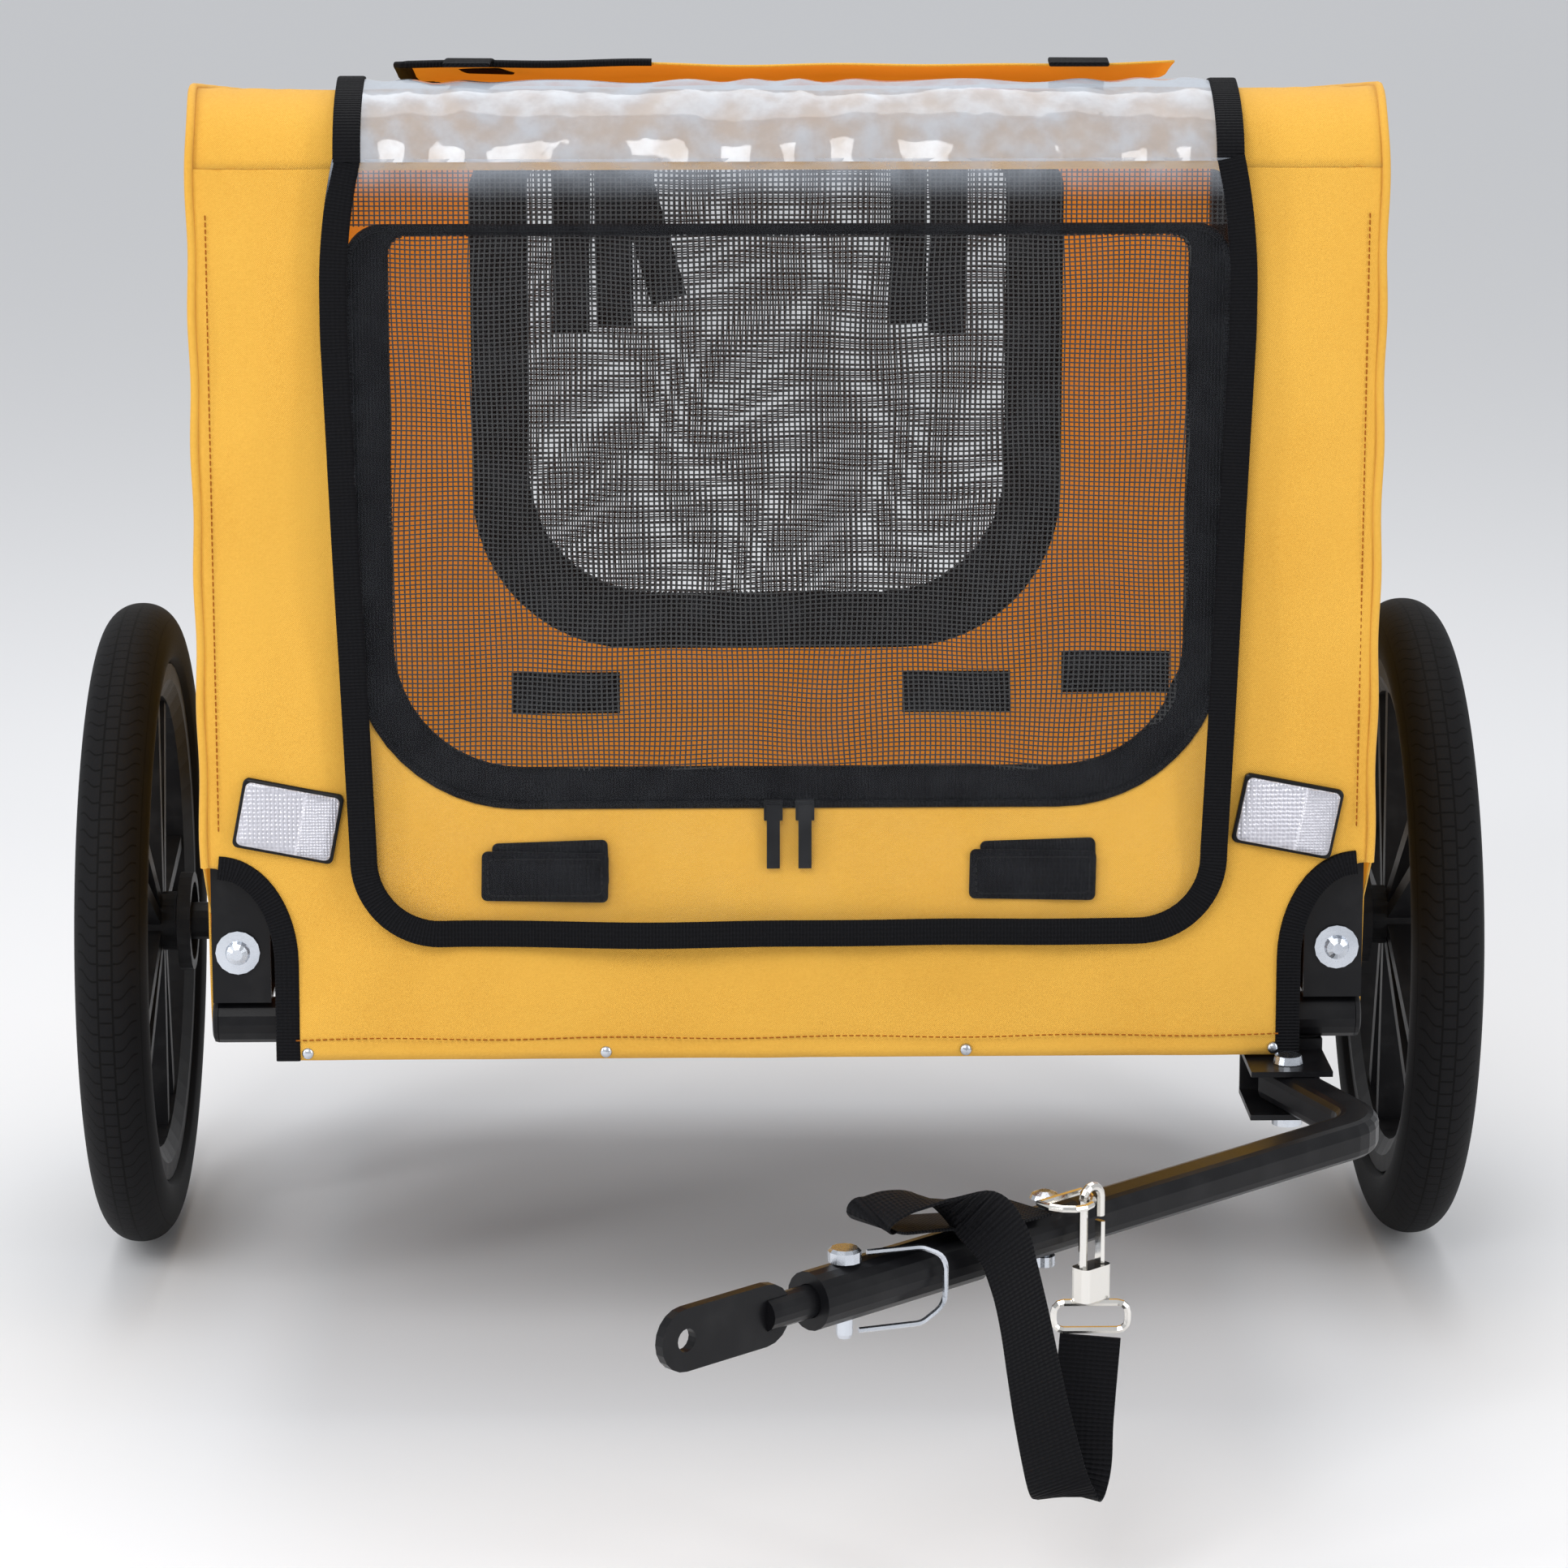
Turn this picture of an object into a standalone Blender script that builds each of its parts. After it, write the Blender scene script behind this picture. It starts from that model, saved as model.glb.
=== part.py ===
"""Two-wheeled bicycle trailer with a folding fabric cabin, a side-mounted tow arm and spring hitch.

Metres, +Z up, ground at z = 0. The trailer faces -Y, so its left side is +X and its right side is -X.
The origin is the centre of the bounding box's base. Lengths named AHEAD are measured forwards (-Y)
from the axle, and lengths named BEHIND rearwards (+Y) from it.
"""

import math

import bmesh
import bpy
import numpy as np
from mathutils import Vector

# --- Driving dimensions -------------------------------------------------------------------------
CLEARANCE = 0.0003  # between pieces that touch in the real trailer

# Wheels
WHEEL_RADIUS = 0.195
TYRE_HALF_WIDTH = 0.021
RIM_SEAT_RADIUS = 0.152
TRACK_HALF = 0.387
HUB_BORE_RADIUS = 0.0095
AXLE_RADIUS = 0.006
SPOKE_COUNT = 5

# Frame
TUBE_RADIUS = 0.0125
TUBE_WALL = 0.0015
FRAME_Z = 0.2215
FRAME_HALF_WIDTH = 0.309
FRONT_TUBE_AHEAD = 0.330
REAR_TUBE_BEHIND = 0.245

# Side hoops: the right one stands inside the left one, so that both can fold inwards
HOOP_RADIUS = 0.0095
HOOP_WALL = 0.0012
HOOP_HALF_SPACING = 0.2975
HOOP_PIVOT_Z = 0.2625
HOOP_FRONT_HEIGHT = 0.4495
HOOP_REAR_HEIGHT = 0.4055
HOOP_BEND = 0.050
HOOP_NESTING = 0.022

# Pivot brackets
PLATE = 0.0025
BRACKET_TOP_Z = 0.3115
BRACKET_INNER_X = 0.280
BOLT_RADIUS = 0.0040

# Cover
COVER_THICKNESS = 0.003
COVER_HALF_WIDTH = 0.316
COVER_BOTTOM_Z = 0.2045
SIDE_BOTTOM_Z = 0.2125
ROOF_CLEARANCE = 0.0015
FRONT_PANEL_TOP_Z = 0.672
REAR_PANEL_TOP_Z = 0.652
FRONT_ROOF_BEND = 0.040
REAR_ROOF_BEND = 0.025
HEM_HALF_WIDTH = 0.277
CUT_TOP_Z = 0.3115
CUT_HEIGHT = 0.053
NOTCH_DEPTH = 0.034
DOOR_HALF_WIDTH = 0.2315
DOOR_BOTTOM_Z = 0.345
DOOR_TOP_Z = 0.655
DOOR_CORNER = 0.055
DOOR_UPPER_CORNER = 0.020
REAR_DOOR_UPPER_CORNER = 0.026
REAR_DOOR_HALF_WIDTH = 0.193
REAR_DOOR_BOTTOM_Z = 0.315
REAR_DOOR_TOP_Z = 0.638
DOOR_GAP = 0.002
FLAP_HALF_WIDTH = 0.246
FLAP_BOTTOM_Z = 0.269
FLAP_TOP_Z = 0.692
FLAP_CORNER = 0.048
FLAP_UPPER_CORNER = 0.006
FLAP_THICKNESS = 0.0025
FLAP_STAND_OFF = 0.0095
REFLECTOR_X = 0.268
REFLECTOR_Z = 0.338
REFLECTOR_TILT = 11
FLAP_TAB_X = 0.131
FLAP_TAB_Z = 0.3065
ZIP_SLIDER_X = 0.0085

# Tow arm, in plan: rear pivot, outer corner, then a straight run to the tow eye
ARM_Z = 0.189
ARM_PIVOT_X = 0.270
ARM_PIVOT_AHEAD = 0.362
ARM_CORNER_X = 0.302
ARM_CORNER_AHEAD = 0.447
EYE_X = -0.058
EYE_AHEAD = 0.770
ARM_WIDTH = 0.023
ARM_HEIGHT = 0.020
ARM_EDGE = 0.006
ARM_BEND = 0.030
SOCKET_RADIUS = 0.0125
SLEEVE_RADIUS = 0.0142
SOCKET_BORE = 0.0105
ROD_RADIUS = 0.008
EYE_HALF_WIDTH = 0.015
EYE_THICKNESS = 0.005
EYE_HOLE_RADIUS = 0.0055
EYE_PLATE_REACH = 0.050
# Distances along the straight run, from the outer corner
TUBE_END = 0.228
SCREW_AT = 0.246
SPRING_AT = 0.2925
SPRING_GAP = 0.009
PIN_AT = 0.3816
SLEEVE_END = 0.405

# Safety strap
STRAP_WIDTH = 0.030
STRAP_THICKNESS = 0.0015

# --- Derived places -----------------------------------------------------------------------------
ARM_RUN_AHEAD = EYE_AHEAD - ARM_CORNER_AHEAD
ARM_RUN_ACROSS = ARM_CORNER_X - EYE_X
ARM_RUN = math.hypot(ARM_RUN_AHEAD, ARM_RUN_ACROSS)
EYE_NOSE = (EYE_HALF_WIDTH * ARM_RUN_AHEAD + EYE_THICKNESS / 2 * ARM_RUN_ACROSS) / ARM_RUN
TOW_REACH = EYE_AHEAD + EYE_NOSE
COVER_FRONT_AHEAD = FRONT_TUBE_AHEAD + TUBE_RADIUS + 0.0065
COVER_REAR_BEHIND = REAR_TUBE_BEHIND + TUBE_RADIUS + 0.0065
REAR_REACH = COVER_REAR_BEHIND + COVER_THICKNESS
AXLE_Y = (TOW_REACH - REAR_REACH) / 2
AXLE_Z = WHEEL_RADIUS
FRONT_TUBE_Y = AXLE_Y - FRONT_TUBE_AHEAD
REAR_TUBE_Y = AXLE_Y + REAR_TUBE_BEHIND
COVER_FRONT_Y = AXLE_Y - COVER_FRONT_AHEAD
COVER_REAR_Y = AXLE_Y + COVER_REAR_BEHIND
FLAP_Y = COVER_FRONT_Y - COVER_THICKNESS - FLAP_STAND_OFF
TRIM_Y = COVER_FRONT_Y - COVER_THICKNESS - CLEARANCE
RAIL_X = FRAME_HALF_WIDTH - 0.009
BRACKET_OUTER_X = HOOP_HALF_SPACING + 0.014
FLOOR_BOTTOM_Z = FRAME_Z + TUBE_RADIUS + CLEARANCE
SLEEVE_START = SPRING_AT + SPRING_GAP / 2
SOCKET_END = SPRING_AT - SPRING_GAP / 2

SIDES = {"left": 1, "right": -1}


# --- Finishes -----------------------------------------------------------------------------------
def finish(name, colour, roughness, metallic=0.0):
    """A Principled material of one colour."""
    material = bpy.data.materials.new(name)
    material.use_nodes = True
    shader = material.node_tree.nodes["Principled BSDF"]
    shader.inputs["Base Color"].default_value = (*colour, 1.0)
    shader.inputs["Roughness"].default_value = roughness
    shader.inputs["Metallic"].default_value = metallic
    return material


def make_finishes():
    """Every finish of the trailer, by name."""
    return {
        "black_steel": finish("black_steel", (0.02, 0.02, 0.022), 0.4, 0.3),
        "black_plastic": finish("black_plastic", (0.03, 0.03, 0.032), 0.5),
        "tyre_rubber": finish("tyre_rubber", (0.025, 0.025, 0.027), 0.8),
        "yellow_fabric": finish("yellow_fabric", (0.86, 0.52, 0.06), 0.85),
        "black_mesh": finish("black_mesh", (0.03, 0.03, 0.03), 0.9),
        "clear_film": finish("clear_film", (0.8, 0.8, 0.8), 0.15),
        "black_webbing": finish("black_webbing", (0.02, 0.02, 0.02), 0.8),
        "zinc": finish("zinc", (0.70, 0.72, 0.75), 0.3, 1.0),
        "nickel": finish("nickel", (0.75, 0.73, 0.70), 0.2, 1.0),
        "reflector_plastic": finish("reflector_plastic", (0.85, 0.86, 0.88), 0.1),
    }


# --- Mesh tools ---------------------------------------------------------------------------------
def solid(name, points, faces, material, origin=(0, 0, 0), smooth=35):
    """An object from world-space points, its faces turned outwards and its origin at the given place."""
    mesh = bpy.data.meshes.new(name)
    shape = bmesh.new()
    shift = Vector(origin)
    corners = [shape.verts.new(Vector(point) - shift) for point in np.asarray(points, float)]
    for face in faces:
        shape.faces.new([corners[i] for i in face])
    bmesh.ops.remove_doubles(shape, verts=shape.verts, dist=1e-6)
    bmesh.ops.recalc_face_normals(shape, faces=shape.faces)
    shape.to_mesh(mesh)
    shape.free()
    mesh.shade_smooth()
    mesh.set_sharp_from_angle(angle=math.radians(smooth))
    mesh.materials.append(material)
    result = bpy.data.objects.new(name, mesh)
    result.location = shift
    bpy.context.scene.collection.objects.link(result)
    return result


def grid_faces(rings, sides, closed=False):
    """The quads between neighbouring rings; a closed sweep joins its last ring to its first."""
    faces = []
    for i in range(rings if closed else rings - 1):
        j = (i + 1) % rings
        for k in range(sides):
            m = (k + 1) % sides
            faces.append((i * sides + k, i * sides + m, j * sides + m, j * sides + k))
    return faces


def circle(radius, sides=12):
    """Points of a circle about the origin, in a plane."""
    angles = np.arange(sides) * 2 * math.pi / sides
    return np.stack([radius * np.cos(angles), radius * np.sin(angles)], axis=1)


def rounded_rectangle(width, height, radius, steps=3):
    """Points of a rectangle with round corners, about the origin, in a plane."""
    points = []
    for quarter, (sx, sy) in enumerate(((1, 1), (-1, 1), (-1, -1), (1, -1))):
        centre = np.array([sx * (width / 2 - radius), sy * (height / 2 - radius)])
        for step in range(steps + 1):
            angle = math.radians(90 * (quarter + step / steps))
            points.append(centre + radius * np.array([math.cos(angle), math.sin(angle)]))
    return np.array(points)


def rounded_path(points, radius, steps=6):
    """An open path through the points, with an arc of the radius at each inner corner."""
    points = [np.array(point, float) for point in points]
    path = [points[0]]
    for before, corner, after in zip(points, points[1:], points[2:]):
        back = (before - corner) / np.linalg.norm(before - corner)
        onward = (after - corner) / np.linalg.norm(after - corner)
        half = math.acos(float(np.clip(back @ onward, -1, 1))) / 2
        inward = (back + onward) / np.linalg.norm(back + onward)
        centre = corner + inward * radius / math.sin(half)
        start = corner + back * radius / math.tan(half) - centre
        end = corner + onward * radius / math.tan(half) - centre
        sweep = math.acos(float(np.clip(start @ end / radius**2, -1, 1)))
        for step in range(steps + 1):
            share = step / steps
            near = math.sin((1 - share) * sweep) / math.sin(sweep)
            far = math.sin(share * sweep) / math.sin(sweep)
            path.append(centre + start * near + end * far)
    path.append(points[-1])
    return np.array(path)


def tangents_of(path, closed=False):
    """Unit directions of travel along a path."""
    if closed:
        steps = np.roll(path, -1, axis=0) - np.roll(path, 1, axis=0)
    else:
        steps = np.gradient(path, axis=0)
    return steps / np.linalg.norm(steps, axis=1, keepdims=True)


def swept_rings(path, section, across, closed=False):
    """The section's points carried along the path; across is the section's first axis, one or per point."""
    path = np.asarray(path, float)
    along = tangents_of(path, closed)
    across = np.broadcast_to(np.asarray(across, float), path.shape)
    across = across - (across * along).sum(1, keepdims=True) * along
    across = across / np.linalg.norm(across, axis=1, keepdims=True)
    upright = np.cross(across, along)
    spread = section[None, :, :1] * across[:, None] + section[None, :, 1:] * upright[:, None]
    return path[:, None] + spread


def bar(name, path, section, across, material, closed=False, origin=(0, 0, 0)):
    """A solid bar of the section along the path, with flat ends."""
    rings = swept_rings(path, section, across, closed)
    count, sides = rings.shape[:2]
    faces = grid_faces(count, sides, closed)
    if not closed:
        faces += [tuple(range(sides)), tuple(range((count - 1) * sides, count * sides))]
    return solid(name, rings.reshape(-1, 3), faces, material, origin)


def tube(name, path, section, bore, across, material, origin=(0, 0, 0)):
    """A hollow bar with open ends; section and bore have the same number of points."""
    outer = swept_rings(path, section, across)
    inner = swept_rings(path, bore, across)
    count, sides = outer.shape[:2]
    faces = grid_faces(count, sides)
    offset = count * sides
    faces += [tuple(i + offset for i in face[::-1]) for face in grid_faces(count, sides)]
    for ring in (0, count - 1):
        for k in range(sides):
            m = (k + 1) % sides
            base = ring * sides
            faces.append((base + k, base + m, offset + base + m, offset + base + k))
    return solid(name, np.concatenate([outer, inner]).reshape(-1, 3), faces, material, origin)


def turned(name, profile, start, axis, material, segments=16, origin=(0, 0, 0)):
    """A closed profile of (distance along the axis, radius) turned about the axis through start."""
    axis = np.array(axis, float) / np.linalg.norm(axis)
    helper = np.array([0, 0, -1.0]) if abs(axis[2]) < 0.9 else np.array([0, -1.0, 0])
    first = helper - (helper @ axis) * axis
    first /= np.linalg.norm(first)
    second = np.cross(axis, first)
    profile = np.array(profile, float)
    angles = np.arange(segments) * 2 * math.pi / segments
    spread = np.cos(angles)[:, None, None] * first + np.sin(angles)[:, None, None] * second
    rings = np.asarray(start, float) + profile[None, :, :1] * axis + profile[None, :, 1:] * spread
    faces = []
    sides = len(profile)
    for i in range(segments):
        j = (i + 1) % segments
        for k in range(sides):
            m = (k + 1) % sides
            on_axis = [profile[k, 1] < 1e-9, profile[m, 1] < 1e-9]
            if all(on_axis):
                continue
            if on_axis[0]:
                faces.append((k, i * sides + m, j * sides + m))
            elif on_axis[1]:
                faces.append((i * sides + k, m, j * sides + k))
            else:
                faces.append((i * sides + k, i * sides + m, j * sides + m, j * sides + k))
    return solid(name, rings.reshape(-1, 3), faces, material, origin)


def plate(name, outline, plane, low, high, material, origin=(0, 0, 0)):
    """An outline in the named plane (XY, XZ or YZ), extruded from low to high on the third axis."""
    slots = {"XY": (0, 1, 2), "XZ": (0, 2, 1), "YZ": (1, 2, 0)}[plane]
    outline = np.array(outline, float)
    count = len(outline)
    points = np.zeros((2 * count, 3))
    points[:count, slots[0]] = points[count:, slots[0]] = outline[:, 0]
    points[:count, slots[1]] = points[count:, slots[1]] = outline[:, 1]
    points[:count, slots[2]] = low
    points[count:, slots[2]] = high
    faces = [tuple(range(count)), tuple(range(count, 2 * count))]
    faces += [(k, (k + 1) % count, (k + 1) % count + count, k + count) for k in range(count)]
    return solid(name, points, faces, material, origin)


def block(name, low, high, material, origin=(0, 0, 0)):
    """A box between two corners."""
    outline = [(low[0], low[1]), (high[0], low[1]), (high[0], high[1]), (low[0], high[1])]
    return plate(name, outline, "XY", low[2], high[2], material, origin)


def helper(piece):
    """Marks a piece as one that only shapes another."""
    piece.hide_render = True
    piece.display_type = "WIRE"
    return piece


def combine(target, tool, operation):
    """Adds an exact Boolean with a helper piece to the target."""
    modifier = target.modifiers.new(f"{operation.lower()}_{tool.name}", "BOOLEAN")
    modifier.operation = operation
    modifier.object = helper(tool)


def drill(target, centre, axis, radius, depth, segments=16):
    """Cuts a round hole of the depth, centred on a point."""
    profile = [(-depth / 2, 0), (-depth / 2, radius), (depth / 2, radius), (depth / 2, 0)]
    name = f"hole_{target.name}_{len(target.modifiers)}"
    cutter = turned(name, profile, centre, axis, target.data.materials[0], segments)
    combine(target, cutter, "DIFFERENCE")


def arc(centre, radius, first, last, steps=6):
    """Points of an arc in a plane, from one angle to another in degrees."""
    angles = np.radians(np.linspace(first, last, steps + 1))
    return [(centre[0] + radius * math.cos(a), centre[1] + radius * math.sin(a)) for a in angles]


def rounded_box_outline(half_width, bottom, top, radius, top_radius=None):
    """A rectangle about x = 0 with round corners, the upper two with their own radius."""
    upper = radius if top_radius is None else top_radius
    points = arc((half_width - radius, bottom + radius), radius, -90, 0)
    points += arc((half_width - upper, top - upper), upper, 0, 90)
    points += arc((upper - half_width, top - upper), upper, 90, 180)
    points += arc((radius - half_width, bottom + radius), radius, 180, 270)
    return points


# --- The tow arm's own directions ---------------------------------------------------------------
ARM_CORNER = np.array([ARM_CORNER_X, AXLE_Y - ARM_CORNER_AHEAD, ARM_Z])
TOW_EYE = np.array([EYE_X, AXLE_Y - EYE_AHEAD, ARM_Z])
ARM_FORWARD = (TOW_EYE - ARM_CORNER) / np.linalg.norm(TOW_EYE - ARM_CORNER)
ARM_OUTWARD = np.array([-ARM_FORWARD[1], ARM_FORWARD[0], 0.0])
UP = np.array([0.0, 0.0, 1.0])


def on_arm(distance, side=0.0, z=ARM_Z):
    """A place beside the arm's straight run: how far from the corner, how far outwards, and its height."""
    point = ARM_CORNER + distance * ARM_FORWARD + side * ARM_OUTWARD
    return np.array([point[0], point[1], z])


# --- Base frame ---------------------------------------------------------------------------------
def make_base_frame(finishes):
    """Cross tubes, side rails, end caps and the floor board."""
    steel = finishes["black_steel"]
    ring = circle(TUBE_RADIUS, 16)
    hollow = circle(TUBE_RADIUS - TUBE_WALL, 16)
    for name, y in (("front_cross_tube", FRONT_TUBE_Y), ("rear_cross_tube", REAR_TUBE_Y)):
        ends = [(-FRAME_HALF_WIDTH, y, FRAME_Z), (FRAME_HALF_WIDTH, y, FRAME_Z)]
        tube(name, ends, ring, hollow, UP, steel)
    for side, sign in SIDES.items():
        reach = TUBE_RADIUS + CLEARANCE
        front_end = (sign * RAIL_X, FRONT_TUBE_Y + reach, FRAME_Z)
        rear_end = (sign * RAIL_X, REAR_TUBE_Y - reach, FRAME_Z)
        ends = [front_end, rear_end]
        tube(f"side_rail_{side}", ends, ring, hollow, UP, steel)
        plug = TUBE_RADIUS - TUBE_WALL - CLEARANCE
        profile = [(-0.012, 0), (-0.012, plug), (CLEARANCE, plug), (CLEARANCE, TUBE_RADIUS)]
        profile += [(0.0025, TUBE_RADIUS - 0.0005), (0.0035, TUBE_RADIUS - 0.003), (0.0035, 0)]
        start = (sign * FRAME_HALF_WIDTH, FRONT_TUBE_Y, FRAME_Z)
        turned(f"tube_cap_{side}", profile, start, (sign, 0, 0), finishes["black_plastic"])
    inset = HEM_HALF_WIDTH - 0.001
    low = (-inset, FRONT_TUBE_Y, FLOOR_BOTTOM_Z)
    high = (inset, REAR_TUBE_Y, FLOOR_BOTTOM_Z + COVER_THICKNESS)
    block("floor_board", low, high, finishes["black_plastic"])


def rail_z(y):
    """Height of the hoops' sloping top rail, on its centreline."""
    share = (y - FRONT_TUBE_Y) / (REAR_TUBE_Y - FRONT_TUBE_Y)
    return HOOP_PIVOT_Z + HOOP_FRONT_HEIGHT + share * (HOOP_REAR_HEIGHT - HOOP_FRONT_HEIGHT)


def hoop_leg_y(side, end):
    """Where a hoop's leg stands along the trailer: the right hoop's legs stand nearer the middle."""
    nesting = HOOP_NESTING if side == "right" else 0.0
    return FRONT_TUBE_Y + nesting if end == "front" else REAR_TUBE_Y - nesting


def make_bracket(side, end, finishes):
    """A channel welded onto a cross tube, and the bolt on which a hoop's leg turns in it."""
    sign = SIDES[side]
    away = -1 if end == "front" else 1
    leg_y = hoop_leg_y(side, end)
    tube_y = FRONT_TUBE_Y if end == "front" else REAR_TUBE_Y
    room = HOOP_RADIUS + 0.001
    outer_face = tube_y + away * (room + PLATE)
    inner_face = leg_y - away * (room + PLATE)
    bottom = FLOOR_BOTTOM_Z
    steel = finishes["black_steel"]
    label = f"{end}_{side}"

    def part(name, x_low, x_high, y_one, y_two, z_low, z_high):
        low = (min(sign * x_low, sign * x_high), min(y_one, y_two), z_low)
        high = (max(sign * x_low, sign * x_high), max(y_one, y_two), z_high)
        return block(name, low, high, steel)

    wide = (BRACKET_INNER_X, BRACKET_OUTER_X)
    bracket = part(f"bracket_{label}", *wide, outer_face, inner_face, bottom, bottom + PLATE)
    for name, y in (("outer", outer_face), ("inner", inner_face)):
        other = y - away * PLATE if name == "outer" else y + away * PLATE
        cheek = part(f"cheek_{name}_{label}", *wide, y, other, bottom, BRACKET_TOP_Z)
        combine(bracket, cheek, "UNION")
    stop_low = HOOP_PIVOT_Z + 0.020
    web_wide = (BRACKET_OUTER_X - PLATE, BRACKET_OUTER_X)
    web = part(f"web_{label}", *web_wide, outer_face, inner_face, stop_low, BRACKET_TOP_Z)
    combine(bracket, web, "UNION")
    if side == "right":
        length = HOOP_NESTING
        start = (sign * HOOP_HALF_SPACING, outer_face - away * PLATE / 2, HOOP_PIVOT_Z)
        boss_profile = [(0, 0), (0, 0.008), (length, 0.008), (length, 0)]
        boss = turned(f"boss_{label}", boss_profile, start, (0, -away, 0), steel)
        combine(bracket, boss, "UNION")
    middle = (sign * HOOP_HALF_SPACING, (outer_face + inner_face) / 2, HOOP_PIVOT_Z)
    span = abs(outer_face - inner_face)
    drill(bracket, middle, (0, 1, 0), BOLT_RADIUS + CLEARANCE, span + 0.02)

    washer = 0.012
    head = [(-0.0068, 0), (-0.0068, 0.003), (-0.0052, 0.0058), (-0.0020, 0.0068), (-0.0018, washer)]
    head += [(-CLEARANCE, washer), (-CLEARANCE, BOLT_RADIUS), (span + CLEARANCE, BOLT_RADIUS)]
    head += [(span + CLEARANCE, 0.0068), (span + 0.0065, 0.0068), (span + 0.0065, 0)]
    start = (sign * HOOP_HALF_SPACING, outer_face, HOOP_PIVOT_Z)
    turned(f"pivot_bolt_{label}", head, start, (0, -away, 0), finishes["zinc"])


def make_hoop(side, finishes):
    """A side frame: one tube bent into an upside-down U, turning about its two lower bolts."""
    x = SIDES[side] * HOOP_HALF_SPACING
    front = hoop_leg_y(side, "front")
    rear = hoop_leg_y(side, "rear")
    foot_z = HOOP_PIVOT_Z - 0.010
    corners = [(x, front, foot_z), (x, front, rail_z(front)), (x, rear, rail_z(rear)), (x, rear, foot_z)]
    path = rounded_path(corners, HOOP_BEND)
    ring = circle(HOOP_RADIUS)
    hollow = circle(HOOP_RADIUS - HOOP_WALL)
    origin = (x, front, HOOP_PIVOT_Z)
    hoop = tube(f"side_frame_{side}", path, ring, hollow, (1, 0, 0), finishes["black_steel"], origin)
    for y in (front, rear):
        drill(hoop, (x, y, HOOP_PIVOT_Z), (0, 1, 0), BOLT_RADIUS + CLEARANCE, 4 * HOOP_RADIUS)


# --- Axles and wheels ---------------------------------------------------------------------------
def make_axle(side, finishes):
    """The socket under the side rail, the push-button axle in it and the button."""
    sign = SIDES[side]
    socket_radius = 0.0115
    inner = 0.288
    outer = TRACK_HALF - 0.0265
    bore = AXLE_RADIUS + CLEARANCE
    profile = [(inner, bore), (inner, socket_radius), (outer, socket_radius), (outer, bore)]
    start = (0, AXLE_Y, AXLE_Z)
    direction = (sign, 0, 0)
    socket = turned(f"axle_socket_{side}", profile, start, direction, finishes["black_steel"])
    gusset_top = FRAME_Z - TUBE_RADIUS - CLEARANCE
    gusset_low = (min(sign * 0.290, sign * 0.312), AXLE_Y - 0.018, AXLE_Z + bore + 0.002)
    gusset_high = (max(sign * 0.290, sign * 0.312), AXLE_Y + 0.018, gusset_top)
    combine(socket, block(f"gusset_{side}", gusset_low, gusset_high, finishes["black_steel"]), "UNION")

    shank = [(inner + 0.004, 0), (inner + 0.002, 0.004), (inner + 0.006, AXLE_RADIUS)]
    head_at = TRACK_HALF + 0.0310
    head = [(head_at, AXLE_RADIUS), (head_at, 0.0115), (head_at + 0.005, 0.0115)]
    mouth = [(head_at + 0.005, 0.0063), (head_at + 0.0005, 0.0063), (head_at + 0.0005, 0)]
    turned(f"axle_{side}", shank + head + mouth, start, direction, finishes["zinc"])
    button_low = head_at + 0.0052
    button = [(button_low, 0), (button_low, 0.006), (head_at + 0.009, 0.006), (head_at + 0.0102, 0.004)]
    button += [(head_at + 0.0102, 0)]
    origin = (sign * button_low, AXLE_Y, AXLE_Z)
    turned(f"axle_button_{side}", button, start, direction, finishes["black_plastic"], origin=origin)


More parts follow.
